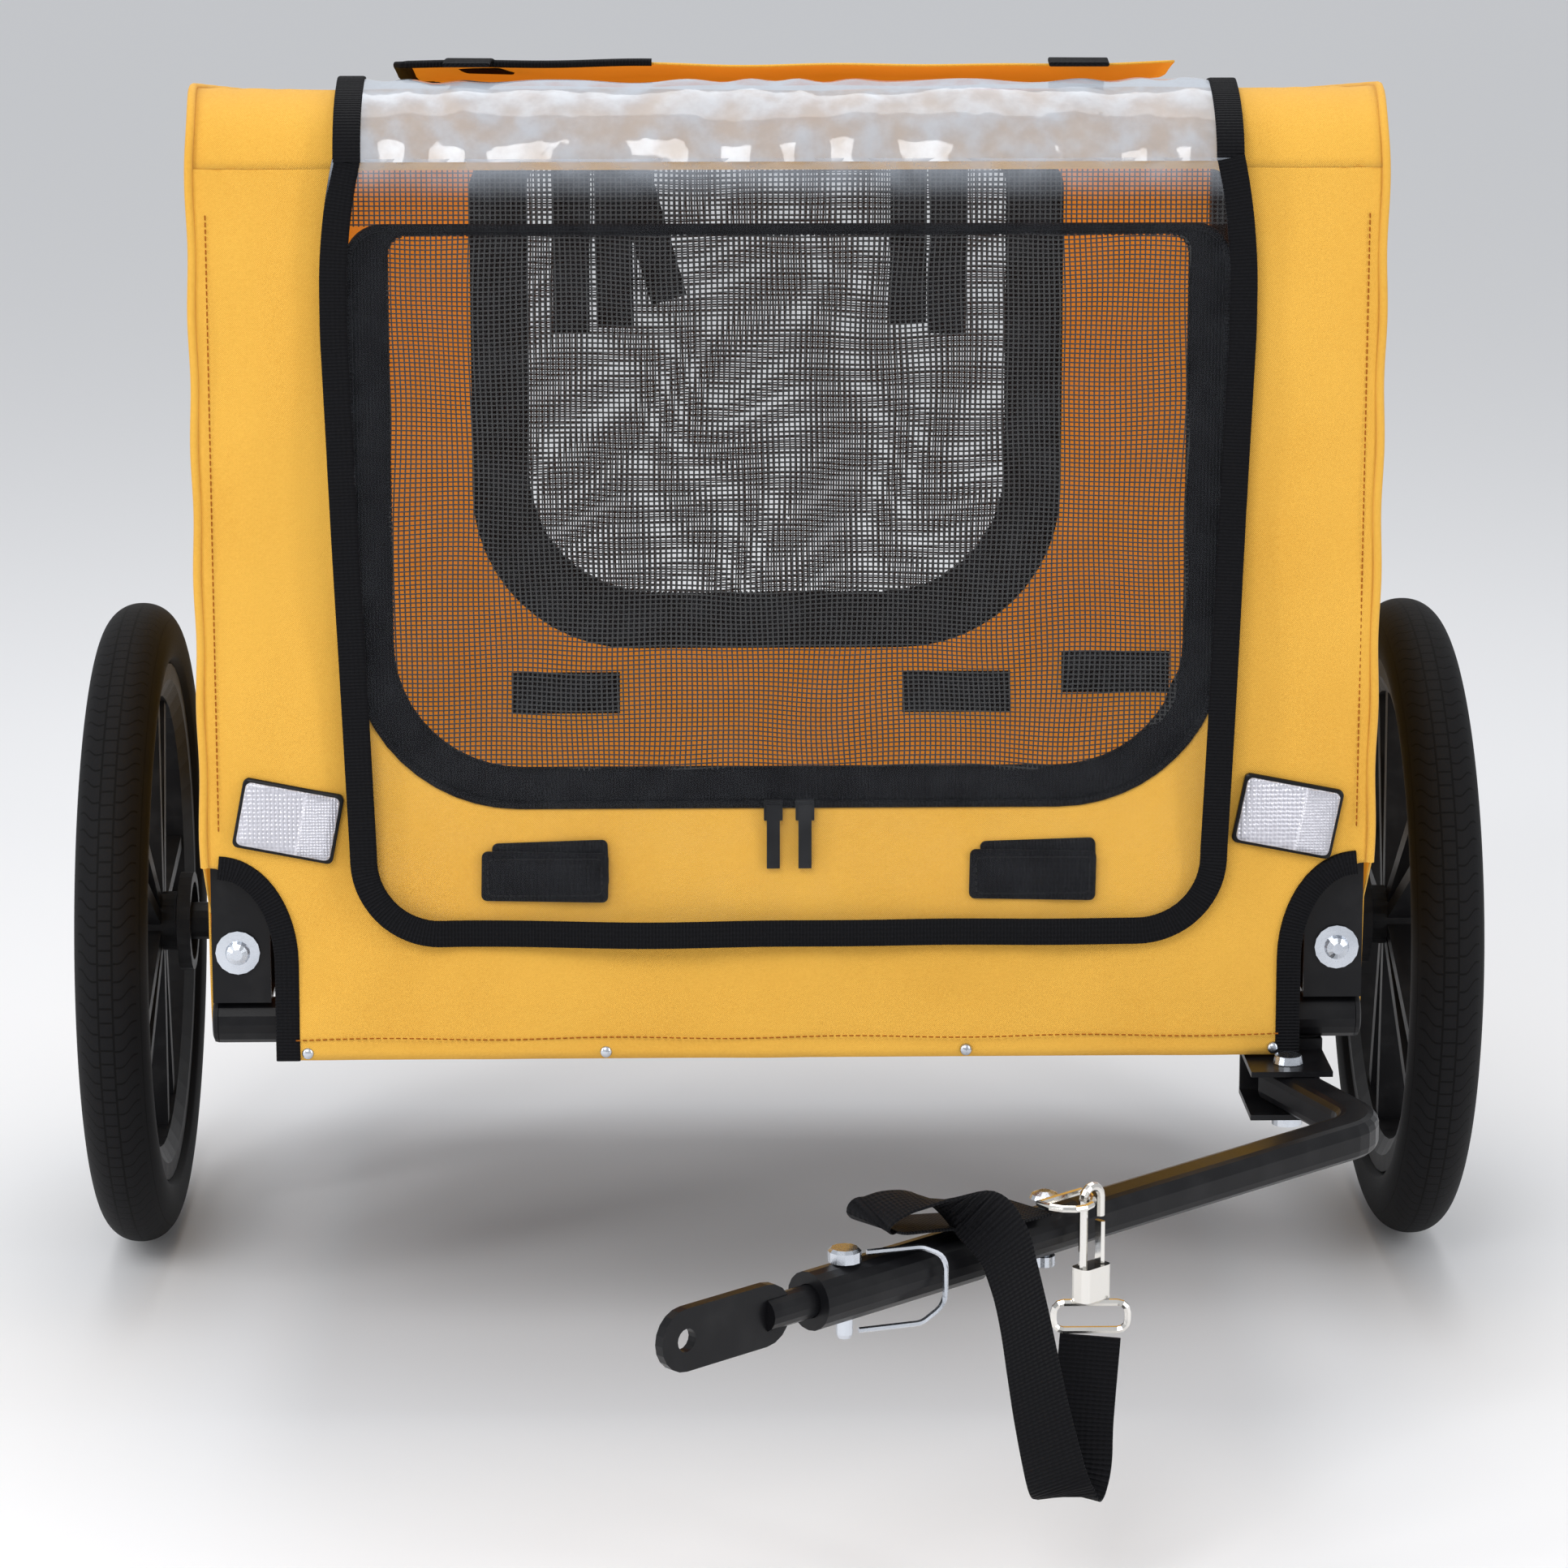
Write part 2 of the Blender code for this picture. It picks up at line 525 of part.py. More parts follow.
def make_wheel(side, finishes):
    """A solid tyre, a moulded wheel with twin-bladed spokes and a bush in its hub."""
    sign = SIDES[side]
    centre = (sign * TRACK_HALF, AXLE_Y, AXLE_Z)
    outward = (sign, 0, 0)
    half = TYRE_HALF_WIDTH
    seat = RIM_SEAT_RADIUS
    top = WHEEL_RADIUS
    bead = 0.0122
    side_profile = [(bead, seat + CLEARANCE), (bead, seat + 0.0066), (0.0175, seat + 0.012)]
    side_profile += [(half, seat + 0.020)]
    side_profile += [(half, seat + 0.026), (half - 0.0015, top - 0.012), (half - 0.005, top - 0.0045)]
    side_profile += [(half - 0.012, top - 0.001)]
    profile = side_profile + [(0, top)] + [(-x, r) for x, r in side_profile[::-1]]
    turned(f"tyre_{side}", profile, centre, outward, finishes["tyre_rubber"], 48, centre)

    flange = seat + 0.006
    rim_half = 0.0157
    rim = [(-rim_half, flange), (CLEARANCE - bead - 0.0008, flange), (CLEARANCE - bead - 0.0008, seat)]
    rim += [(bead + 0.0008 - CLEARANCE, seat), (bead + 0.0008 - CLEARANCE, flange), (rim_half, flange)]
    rim += [(rim_half, seat - 0.004), (0.0105, seat - 0.014)]
    rim += [(-0.0105, seat - 0.014), (-rim_half, seat - 0.004)]
    wheel = turned(f"wheel_{side}", rim, centre, outward, finishes["black_plastic"], 48, centre)
    dish = 0.0307
    cup = 0.024
    hub = [(-dish + 0.006, HUB_BORE_RADIUS), (-dish + 0.006, cup), (-dish, cup), (-dish, cup + 0.006)]
    hub += [(-dish + 0.008, cup + 0.006), (-dish + 0.010, 0.018), (dish - 0.008, 0.018), (dish, 0.016)]
    hub += [(dish, HUB_BORE_RADIUS)]
    hub_solid = turned(f"hub_{side}", hub, centre, outward, finishes["black_plastic"], 24, centre)
    combine(wheel, hub_solid, "UNION")
    for index in range(SPOKE_COUNT):
        for blade in (-1, 1):
            angle = 2 * math.pi * index / SPOKE_COUNT
            root = angle + blade * 0.31
            tip = angle + blade * 0.13
            spoke = make_spoke(f"spoke_{side}_{index}_{blade}", centre, root, tip, seat - 0.010, finishes)
            combine(wheel, spoke, "UNION")
    bush_outer = HUB_BORE_RADIUS - CLEARANCE
    bush_inner = AXLE_RADIUS + CLEARANCE
    low = -dish + 0.006
    bush = [(low, bush_inner), (low, bush_outer), (dish - 0.001, bush_outer), (dish - 0.001, bush_inner)]
    turned(f"hub_bush_{side}", bush, centre, outward, finishes["zinc"], 16, centre)


def make_spoke(name, centre, root_angle, tip_angle, tip_radius, finishes):
    """One tapered blade from the hub to the rim, widest at the rim."""
    root_radius = 0.0155
    low = np.array([root_radius * math.cos(root_angle), root_radius * math.sin(root_angle)])
    high = np.array([tip_radius * math.cos(tip_angle), tip_radius * math.sin(tip_angle)])
    along = (high - low) / np.linalg.norm(high - low)
    across = np.array([-along[1], along[0]])
    corners = []
    for place, half_thick, half_deep in ((low, 0.0040, 0.012), (high, 0.0045, 0.009)):
        for a, b in ((1, 1), (-1, 1), (-1, -1), (1, -1)):
            y, z = place + a * half_thick * across
            corners.append((centre[0] + b * half_deep, centre[1] + y, centre[2] + z))
    faces = [(0, 1, 2, 3), (4, 5, 6, 7)] + [(k, (k + 1) % 4, (k + 1) % 4 + 4, k + 4) for k in range(4)]
    return solid(name, corners, faces, finishes["black_plastic"], centre)


# --- Cover, doors and flap ----------------------------------------------------------------------
def cut_window(target, outline, y_low, y_high):
    """Cuts an opening of the outline through an upright panel."""
    material = target.data.materials[0]
    cutter = plate(f"window_{target.name}", outline, "XZ", y_low - 0.01, y_high + 0.01, material)
    combine(target, cutter, "DIFFERENCE")


def panel_outline(top):
    """An end panel's outline: straight sides, and lower corners cut in a curve round the brackets."""
    half = COVER_HALF_WIDTH - COVER_THICKNESS - CLEARANCE
    cut_width = half - HEM_HALF_WIDTH
    right = [(HEM_HALF_WIDTH, COVER_BOTTOM_Z)]
    for angle in np.radians(np.linspace(0, 90, 7)):
        x = HEM_HALF_WIDTH + cut_width * (1 - math.cos(angle))
        z = CUT_TOP_Z - CUT_HEIGHT * (1 - math.sin(angle))
        right.append((x, z))
    right.append((half, top))
    return right + [(-x, z) for x, z in right[::-1]]


def roof_line(y, inset=0.0):
    """Height of the roof's outer face, or of a layer set in from it."""
    return rail_z(y) + HOOP_RADIUS + ROOF_CLEARANCE + COVER_THICKNESS - inset


def roof_profile(inset):
    """The roof in side view, from the front panel's top edge over both bends to the rear panel's."""
    front = COVER_FRONT_Y - COVER_THICKNESS + inset
    rear = COVER_REAR_Y + COVER_THICKNESS - inset
    front_top = roof_line(front, inset)
    rear_top = roof_line(rear, inset)
    edge = [(front, 0, FRONT_PANEL_TOP_Z), (front, 0, front_top), (rear, 0, rear_top)]
    over_front = rounded_path(edge, FRONT_ROOF_BEND - inset, 5)[:-1]
    edge = [(front, 0, front_top), (rear, 0, rear_top), (rear, 0, REAR_PANEL_TOP_Z)]
    over_rear = rounded_path(edge, REAR_ROOF_BEND - inset, 4)[1:]
    return [(y, z) for y, _, z in np.concatenate([over_front, over_rear])]


def make_cover(finishes):
    """The sewn cover as five panels, each a thin closed solid."""
    fabric = finishes["yellow_fabric"]
    thick = COVER_THICKNESS
    outline = panel_outline(FRONT_PANEL_TOP_Z - CLEARANCE)
    front = plate("cover_front", outline, "XZ", COVER_FRONT_Y - thick, COVER_FRONT_Y, fabric)
    hole = door_outline(DOOR_HALF_WIDTH, DOOR_BOTTOM_Z, DOOR_TOP_Z, DOOR_GAP)
    cut_window(front, hole, COVER_FRONT_Y - thick, COVER_FRONT_Y)
    outline = panel_outline(REAR_PANEL_TOP_Z - CLEARANCE)
    rear = plate("cover_rear", outline, "XZ", COVER_REAR_Y, COVER_REAR_Y + thick, fabric)
    hole = door_outline(REAR_DOOR_HALF_WIDTH, REAR_DOOR_BOTTOM_Z, REAR_DOOR_TOP_Z, DOOR_GAP)
    cut_window(rear, hole, COVER_REAR_Y, COVER_REAR_Y + thick)

    half = COVER_HALF_WIDTH - thick - CLEARANCE
    outline = roof_profile(0.0) + roof_profile(thick)[::-1]
    plate("cover_roof", outline, "YZ", -half, half, fabric)
    outline = roof_profile(0.0)
    low_y = outline[0][0]
    high_y = outline[-1][0]
    outline += [(high_y, CUT_TOP_Z), (high_y - NOTCH_DEPTH, CUT_TOP_Z - NOTCH_DEPTH)]
    outline += [(high_y - NOTCH_DEPTH, SIDE_BOTTOM_Z), (low_y + NOTCH_DEPTH, SIDE_BOTTOM_Z)]
    outline += [(low_y + NOTCH_DEPTH, CUT_TOP_Z - NOTCH_DEPTH), (low_y, CUT_TOP_Z)]
    for side, sign in SIDES.items():
        edges = sorted((sign * (COVER_HALF_WIDTH - thick), sign * COVER_HALF_WIDTH))
        plate(f"cover_side_{side}", outline, "YZ", edges[0], edges[1], fabric)


def door_outline(half_width, bottom, top, gap=0.0, upper=DOOR_UPPER_CORNER):
    """A door's outline, or that of its opening when a gap is given."""
    return rounded_box_outline(half_width + gap, bottom - gap, top + gap, DOOR_CORNER, upper)


def make_doors(finishes):
    """The front mesh door, the rear mesh door and the clear rain flap, each turning about its top edge."""
    thick = COVER_THICKNESS
    mesh = finishes["black_mesh"]
    outline = door_outline(DOOR_HALF_WIDTH, DOOR_BOTTOM_Z, DOOR_TOP_Z)
    hinge = (0, COVER_FRONT_Y - thick / 2, DOOR_TOP_Z)
    plate("mesh_door", outline, "XZ", COVER_FRONT_Y - thick, COVER_FRONT_Y, mesh, hinge)
    upper = REAR_DOOR_UPPER_CORNER
    outline = door_outline(REAR_DOOR_HALF_WIDTH, REAR_DOOR_BOTTOM_Z, REAR_DOOR_TOP_Z, upper=upper)
    hinge = (0, COVER_REAR_Y + thick / 2, REAR_DOOR_TOP_Z)
    plate("rear_door", outline, "XZ", COVER_REAR_Y, COVER_REAR_Y + thick, mesh, hinge)
    outline = rounded_box_outline(FLAP_HALF_WIDTH, FLAP_BOTTOM_Z, FLAP_TOP_Z, FLAP_CORNER, FLAP_UPPER_CORNER)
    hinge = (0, FLAP_Y - FLAP_THICKNESS / 2, FLAP_TOP_Z)
    plate("rain_flap", outline, "XZ", FLAP_Y - FLAP_THICKNESS, FLAP_Y, finishes["clear_film"], hinge)


def make_front_trim(finishes):
    """Reflectors, flap tabs and the door's two zip sliders, on the front panel."""
    for side, sign in SIDES.items():
        tilt = math.radians(REFLECTOR_TILT)
        centre = np.array([sign * REFLECTOR_X, REFLECTOR_Z])
        outline = rounded_rectangle(0.053, 0.037, 0.003)
        turn = np.array([[math.cos(tilt), -math.sin(tilt)], [math.sin(tilt), math.cos(tilt)]])
        outline = centre + outline @ turn
        plate(f"reflector_{side}", outline, "XZ", TRIM_Y - 0.005, TRIM_Y, finishes["reflector_plastic"])
        outline = np.array([sign * FLAP_TAB_X, FLAP_TAB_Z]) + rounded_rectangle(0.068, 0.027, 0.004)
        plate(f"flap_tab_{side}", outline, "XZ", TRIM_Y - 0.002, TRIM_Y, finishes["black_webbing"])
        x = sign * ZIP_SLIDER_X
        body_low = (x - 0.005, TRIM_Y - 0.0045, DOOR_BOTTOM_Z - 0.008)
        body_high = (x + 0.005, TRIM_Y, DOOR_BOTTOM_Z + 0.003)
        plastic = finishes["black_plastic"]
        slider = block(f"zip_slider_{side}", body_low, body_high, plastic, (x, TRIM_Y, DOOR_BOTTOM_Z))
        pull_low = (x - 0.0035, TRIM_Y - 0.0060, DOOR_BOTTOM_Z - 0.034)
        pull_high = (x + 0.0035, TRIM_Y - 0.0042, DOOR_BOTTOM_Z + 0.001)
        combine(slider, block(f"zip_pull_{side}", pull_low, pull_high, plastic), "UNION")


# --- Tow arm ------------------------------------------------------------------------------------
def make_tow_bracket(finishes):
    """A fork under the front cross tube, and the upright bolt on which the arm swings."""
    steel = finishes["black_steel"]
    gap = ARM_HEIGHT / 2 + 0.0005
    pivot_y = AXLE_Y - ARM_PIVOT_AHEAD
    x_low = ARM_PIVOT_X - 0.022
    x_high = ARM_PIVOT_X + 0.022
    back = FRONT_TUBE_Y + 0.004
    front = pivot_y - 0.018
    plate_one = 0.003
    bracket = block(
        "tow_bracket", (x_low, front, ARM_Z + gap), (x_high, back, ARM_Z + gap + plate_one), steel
    )
    lower = block("fork_lower", (x_low, front, ARM_Z - gap - plate_one), (x_high, back, ARM_Z - gap), steel)
    rear_low = (x_low, back - plate_one, ARM_Z - gap - plate_one)
    rear = block("fork_rear", rear_low, (x_high, back, ARM_Z + gap + plate_one), steel)
    saddle_top = FRAME_Z - TUBE_RADIUS - CLEARANCE
    saddle_corner = (x_low, FRONT_TUBE_Y - 0.006, ARM_Z + gap)
    saddle = block("fork_saddle", saddle_corner, (x_high, back, saddle_top), steel)
    for piece in (lower, rear, saddle):
        combine(bracket, piece, "UNION")
    bolt = 0.005
    drill(bracket, (ARM_PIVOT_X, pivot_y, ARM_Z), UP, bolt + CLEARANCE, 0.06)
    top = ARM_Z + gap + plate_one
    bottom = ARM_Z - gap - plate_one
    nut = 0.0082
    profile = [(bottom - 0.007, 0), (bottom - 0.007, nut), (bottom - CLEARANCE, nut)]
    profile += [(bottom - CLEARANCE, bolt), (top + CLEARANCE, bolt), (top + CLEARANCE, nut)]
    profile += [(top + 0.0045, nut - 0.001), (top + 0.0055, 0)]
    turned("tow_pivot_bolt", profile, (ARM_PIVOT_X, pivot_y, 0), UP, finishes["zinc"])


def make_tow_arm(finishes):
    """The bent flattened tube and the round tube on its front end."""
    steel = finishes["black_steel"]
    pivot = np.array([ARM_PIVOT_X, AXLE_Y - ARM_PIVOT_AHEAD, ARM_Z])
    back = (pivot - ARM_CORNER) / np.linalg.norm(pivot - ARM_CORNER)
    corners = [pivot + 0.012 * back, ARM_CORNER, on_arm(TUBE_END)]
    path = rounded_path(corners, ARM_BEND)
    section = rounded_rectangle(ARM_HEIGHT, ARM_WIDTH, ARM_EDGE)
    wall = 0.0018
    bore = rounded_rectangle(ARM_HEIGHT - 2 * wall, ARM_WIDTH - 2 * wall, ARM_EDGE - wall)
    arm = tube("arm_tube", path, section, bore, UP, steel, pivot)
    drill(arm, pivot, UP, 0.005 + 2 * CLEARANCE, 0.05)
    length = SOCKET_END - TUBE_END - CLEARANCE
    profile = [(0, SOCKET_BORE), (0, SOCKET_RADIUS), (length, SOCKET_RADIUS), (length, SOCKET_BORE)]
    socket = turned("arm_socket", profile, on_arm(TUBE_END + CLEARANCE), ARM_FORWARD, steel, 20, pivot)
    screw = 0.003
    drill(socket, on_arm(SCREW_AT), UP, screw + CLEARANCE, 0.05, 12)
    low = ARM_Z - SOCKET_RADIUS - CLEARANCE
    high = ARM_Z + SOCKET_RADIUS + 0.0040
    profile = [(low - 0.005, 0), (low - 0.005, 0.0055), (low, 0.0055), (low, screw), (high, screw)]
    profile += [(high, 0.0075), (high + 0.002, 0.0065), (high + 0.0035, 0.003), (high + 0.0035, 0)]
    place = on_arm(SCREW_AT, 0, 0)
    turned("strap_screw", profile, place, UP, finishes["zinc"], 16, pivot)


def make_eye_plate(finishes):
    """The tow eye's flat plate: an upright stadium along the arm, its faces turned outwards and inwards."""
    front = arc((0, 0), EYE_HALF_WIDTH, -90, 90, 10)
    rear = arc((-EYE_PLATE_REACH, 0), EYE_HALF_WIDTH, 90, 270, 9)
    outline = np.array(front + rear)
    middle = TOW_EYE + outline[:, :1] * ARM_FORWARD + outline[:, 1:] * UP
    half = EYE_THICKNESS / 2 * ARM_OUTWARD
    count = len(outline)
    faces = [tuple(range(count)), tuple(range(count, 2 * count))]
    faces += [(k, (k + 1) % count, (k + 1) % count + count, k + count) for k in range(count)]
    return solid("eye_plate", np.concatenate([middle - half, middle + half]), faces, finishes["black_steel"])


def make_hitch(finishes):
    """The coupling spring, the sleeve, the rod with the tow eye, and the locking pin with its wire clip."""
    zinc = finishes["zinc"]
    centre = on_arm(SPRING_AT)
    half = SPRING_GAP / 2 - 0.0005
    profile = [(-half, 0), (-half, 0.0085), (half, 0.0085), (half, 0)]
    turned("coupling_spring", profile, centre, ARM_FORWARD, zinc, 16, centre)

    step = 0.030
    length = SLEEVE_END - SLEEVE_START
    rod_bore = ROD_RADIUS + CLEARANCE
    profile = [(0, SOCKET_BORE), (0, SLEEVE_RADIUS), (length, SLEEVE_RADIUS), (length, rod_bore)]
    profile += [(step, rod_bore), (step, SOCKET_BORE)]
    steel = finishes["black_steel"]
    sleeve = turned("hitch_sleeve", profile, on_arm(SLEEVE_START), ARM_FORWARD, steel, 20, centre)
    pin = 0.004
    drill(sleeve, on_arm(PIN_AT), UP, pin + CLEARANCE, 0.05, 12)

    rod_start = SLEEVE_START + step + 0.004
    rod_end = np.linalg.norm(TOW_EYE - ARM_CORNER) - 0.050
    rod_length = rod_end - rod_start
    profile = [(0, 0), (0, ROD_RADIUS), (rod_length, ROD_RADIUS), (rod_length, 0)]
    rod = turned("hitch_rod", profile, on_arm(rod_start), ARM_FORWARD, finishes["black_steel"], 16, centre)
    combine(rod, make_eye_plate(finishes), "UNION")
    drill(rod, TOW_EYE, ARM_OUTWARD, EYE_HOLE_RADIUS, 0.04)
    drill(rod, on_arm(PIN_AT), UP, pin + CLEARANCE, 0.05, 12)

    pin_low = ARM_Z - SLEEVE_RADIUS - 0.009
    pin_high = ARM_Z + SLEEVE_RADIUS + CLEARANCE
    profile = [(pin_low, 0), (pin_low, pin - 0.001), (pin_low + 0.002, pin), (pin_high, pin)]
    profile += [(pin_high, 0.008)]
    profile += [(pin_high + 0.005, 0.008), (pin_high + 0.0065, 0.0065), (pin_high + 0.0065, 0)]
    place = on_arm(PIN_AT, 0, 0)
    turned("hitch_pin", profile, place, UP, zinc, 12, on_arm(PIN_AT))
    wire = 0.0014
    beside = SLEEVE_RADIUS + 0.005
    over = pin_high + 0.003
    under = pin_low + 0.003
    shape = [
        on_arm(PIN_AT - 0.0100, 0.0045, over),
        on_arm(PIN_AT - 0.0350, beside - 0.003, over),
        on_arm(PIN_AT - 0.0480, beside, ARM_Z + 0.011),
        on_arm(PIN_AT - 0.0480, beside, ARM_Z - 0.013),
        on_arm(PIN_AT - 0.0350, beside - 0.003, under),
        on_arm(PIN_AT - 0.0060, 0.0035, under),
    ]
    bar("pin_clip", rounded_path(shape, 0.010, 4), circle(wire, 6), (0.1, 0.2, 1.0), zinc, origin=shape[0])


def make_strap_fittings(finishes):
    """The D-ring, the snap hook with its sprung gate, and the ring that the strap's end is sewn round."""
    nickel = finishes["nickel"]
    wire = 0.0018
    ring_z = ARM_Z + SOCKET_RADIUS + 0.0065
    corners = []
    for angle in np.radians(np.linspace(0, 180, 9)):
        distance = SCREW_AT + 0.015 * math.cos(angle)
        side = 0.0105 + 0.017 * math.sin(angle)
        corners.append(on_arm(distance, side, ring_z - 0.0015 * math.sin(angle)))
    bar("d_ring", corners, circle(wire, 8), UP, nickel, closed=True, origin=on_arm(SCREW_AT, 0.0105, ring_z))

    link = SCREW_AT - 0.0125
    hook_side = 0.0200
    top = ring_z - 0.001
    bow = 0.0060
    rod = 0.0022

    def place(back, drop):
        return on_arm(link - back, hook_side, top - drop)

    drop = 0.034
    path = [place(-bow, drop + 0.002)]
    path += [place(bow * math.cos(a), -bow * math.sin(a)) for a in np.radians(np.linspace(180, 0, 9))]
    path += [place(bow, 0.010)]
    hook = bar("snap_hook", path, circle(rod, 8), ARM_OUTWARD, nickel, origin=place(0, 0))
    body_outline = rounded_rectangle(0.019, 0.011, 0.003)
    middle = on_arm(link, hook_side)
    outline = [(middle + a * ARM_FORWARD + b * ARM_OUTWARD)[:2] for a, b in body_outline]
    body = plate("hook_body", outline, "XY", top - drop - 0.017, top - drop, nickel)
    combine(hook, body, "UNION")
    gate_path = [place(bow, drop - 0.0004), place(bow, 0.0125)]
    gate_origin = place(bow, drop - 0.001)
    gate_section = rounded_rectangle(0.006, 0.0026, 0.001, 1)
    bar("hook_gate", gate_path, gate_section, ARM_OUTWARD, nickel, origin=gate_origin)

    ring_top = top - drop - 0.017 - wire - CLEARANCE
    ring_height = 0.014
    half = STRAP_WIDTH / 2 + 0.0032
    corner_list = rounded_rectangle(2 * half, ring_height, 0.005)
    centre = on_arm(link, hook_side, ring_top - ring_height / 2)
    ring_path = [centre + np.array([a, 0, b]) for a, b in corner_list]
    bar("strap_ring", ring_path, circle(wire, 6), (0, 1, 0), nickel, closed=True, origin=centre)
    return centre - np.array([0, 0, ring_height / 2 + wire + 0.0012])


def strap_route(end_point):
    """The strap's centreline and its width direction: along the arm, back over itself, down and up again."""
    top = ARM_Z + SOCKET_RADIUS + CLEARANCE + STRAP_THICKNESS / 2
    route = [
        (0.2560, 0.000, 0.0000, 0),
        (0.2750, 0.000, 0.0004, 0),
        (0.2950, 0.000, 0.0022, 0),
        (0.3180, 0.000, 0.0060, 0),
        (0.3400, 0.000, 0.0095, 0),
        (0.3560, 0.000, 0.0120, 0),
        (0.3650, 0.001, 0.0165, 0),
        (0.3640, 0.003, 0.0215, 3),
        (0.3520, 0.007, 0.0250, 10),
        (0.3360, 0.014, 0.0240, 25),
        (0.3180, 0.023, 0.0160, 50),
        (0.3060, 0.029, 0.0010, 75),
        (0.2990, 0.031, -0.0180, 85),
        (0.2930, 0.032, -0.0400, 85),
        (0.2870, 0.032, -0.0640, 80),
        (0.2810, 0.032, -0.0880, 74),
        (0.2740, 0.032, -0.1120, 66),
        (0.2670, 0.031, -0.1300, 58),
        (0.2600, 0.029, -0.1375, 52),
        (0.2530, 0.027, -0.1400, 48),
        (0.2470, 0.025, -0.1360, 47),
        (0.2430, 0.024, -0.1260, 47),
        (0.2400, 0.022, -0.1060, 47),
    ]
    points = [on_arm(distance, side, top + rise) for distance, side, rise, _ in route]
    points.append(np.array(end_point))
    turns = np.radians([turn for *_, turn in route] + [47])
    widths = np.cos(turns)[:, None] * ARM_OUTWARD - np.sin(turns)[:, None] * ARM_FORWARD
    return np.array(points), widths


def smooth_route(points, widths, steps=3):
    """A Catmull-Rom curve through the route's points, with the widths carried along it."""
    padded = np.concatenate([2 * points[:1] - points[1:2], points, 2 * points[-1:] - points[-2:-1]])
    share = np.linspace(0, 1, steps, endpoint=False)[:, None]
    curve = []
    spread = []
    for i in range(len(points) - 1):
        a, b, c, d = padded[i : i + 4]
        cubic = (d - a + 3 * (b - c)) * share**3 + (2 * a - 5 * b + 4 * c - d) * share**2 + (c - a) * share
        curve.append(b + cubic / 2)
        spread.append(widths[i] * (1 - share) + widths[i + 1] * share)
    curve.append(points[-1:])
    spread.append(widths[-1:])
    return np.concatenate(curve), np.concatenate(spread)


def make_strap(end_point, finishes):
    """The webbing safety strap as one flat ribbon."""
    path, widths = smooth_route(*strap_route(end_point))
    section = np.array([(0.5, 0.5), (-0.5, 0.5), (-0.5, -0.5), (0.5, -0.5)])
    section = section * (STRAP_WIDTH, STRAP_THICKNESS)
    bar("safety_strap", path, section, widths, finishes["black_webbing"])


def main():
    """Clears the scene and builds the trailer."""
    for old in list(bpy.data.objects):
        bpy.data.objects.remove(old, do_unlink=True)
    finishes = make_finishes()
    make_base_frame(finishes)
    for side in SIDES:
        for end in ("front", "rear"):
            make_bracket(side, end, finishes)
        make_hoop(side, finishes)
        make_axle(side, finishes)
        make_wheel(side, finishes)
    make_cover(finishes)
    make_doors(finishes)
    make_front_trim(finishes)
    make_tow_bracket(finishes)
    make_tow_arm(finishes)
    make_hitch(finishes)
    make_strap(make_strap_fittings(finishes), finishes)


main()
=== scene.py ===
import logging
import math
from dataclasses import dataclass, field
from enum import Enum

import bmesh
import bpy
import numpy as np
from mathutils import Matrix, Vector


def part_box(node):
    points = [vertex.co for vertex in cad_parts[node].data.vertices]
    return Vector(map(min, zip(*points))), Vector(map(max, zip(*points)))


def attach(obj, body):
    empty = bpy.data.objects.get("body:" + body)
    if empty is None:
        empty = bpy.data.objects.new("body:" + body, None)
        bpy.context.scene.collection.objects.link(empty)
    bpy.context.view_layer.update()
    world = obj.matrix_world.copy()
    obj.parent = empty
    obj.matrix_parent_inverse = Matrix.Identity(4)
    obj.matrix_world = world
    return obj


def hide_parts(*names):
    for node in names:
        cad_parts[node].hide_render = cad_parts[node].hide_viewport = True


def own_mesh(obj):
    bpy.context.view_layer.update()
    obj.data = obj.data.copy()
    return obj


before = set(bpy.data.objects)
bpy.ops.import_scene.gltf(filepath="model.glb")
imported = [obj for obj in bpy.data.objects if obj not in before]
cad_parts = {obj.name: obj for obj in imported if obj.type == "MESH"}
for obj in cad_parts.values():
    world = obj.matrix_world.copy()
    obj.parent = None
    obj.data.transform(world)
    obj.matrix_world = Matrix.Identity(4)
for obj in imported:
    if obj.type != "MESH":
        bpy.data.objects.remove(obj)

Array = np.ndarray
Colour = tuple[float, float, float]
LOG = logging.getLogger("trailer")
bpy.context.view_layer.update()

UP = np.array([0.0, 0.0, 1.0])
ALONG = np.array([0.0, 1.0, 0.0])
AXLE_Y = (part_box("tyre_left")[0].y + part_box("tyre_left")[1].y) / 2
ARM_Z = 0.189
ARM_CORNER = np.array([0.302, AXLE_Y - 0.447, ARM_Z])
TOW_EYE = np.array([-0.058, AXLE_Y - 0.770, ARM_Z])
ARM_FORWARD = (TOW_EYE - ARM_CORNER) / np.linalg.norm(TOW_EYE - ARM_CORNER)
ARM_OUTWARD = np.array([-ARM_FORWARD[1], ARM_FORWARD[0], 0.0])
FRONT_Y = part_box("cover_front")[0].y
REAR_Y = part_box("cover_rear")[1].y
HALF = 0.316  # from the middle to the side panels
PANEL_HALF = 0.3127  # half the width of the front, rear and roof panels
PANEL_TOP = 0.686  # where the front panel meets the roof's front bend
REAR_TOP = 0.652  # where the rear panel meets the roof's rear bend
DOOR_HALF = 0.2325  # half the front opening
RAIL_TOP, RAIL_SETBACK, RAIL_RUN, RAIL_FALL = 0.712, 0.022, 0.575, 0.044  # the hoops' sloping top rail
ROOF_OVER_RAIL = 0.014
FRONT_BEND, REAR_BEND = 0.040, 0.025
CREASE_ANGLE = 48  # degrees; a sharper edge is drawn sharp


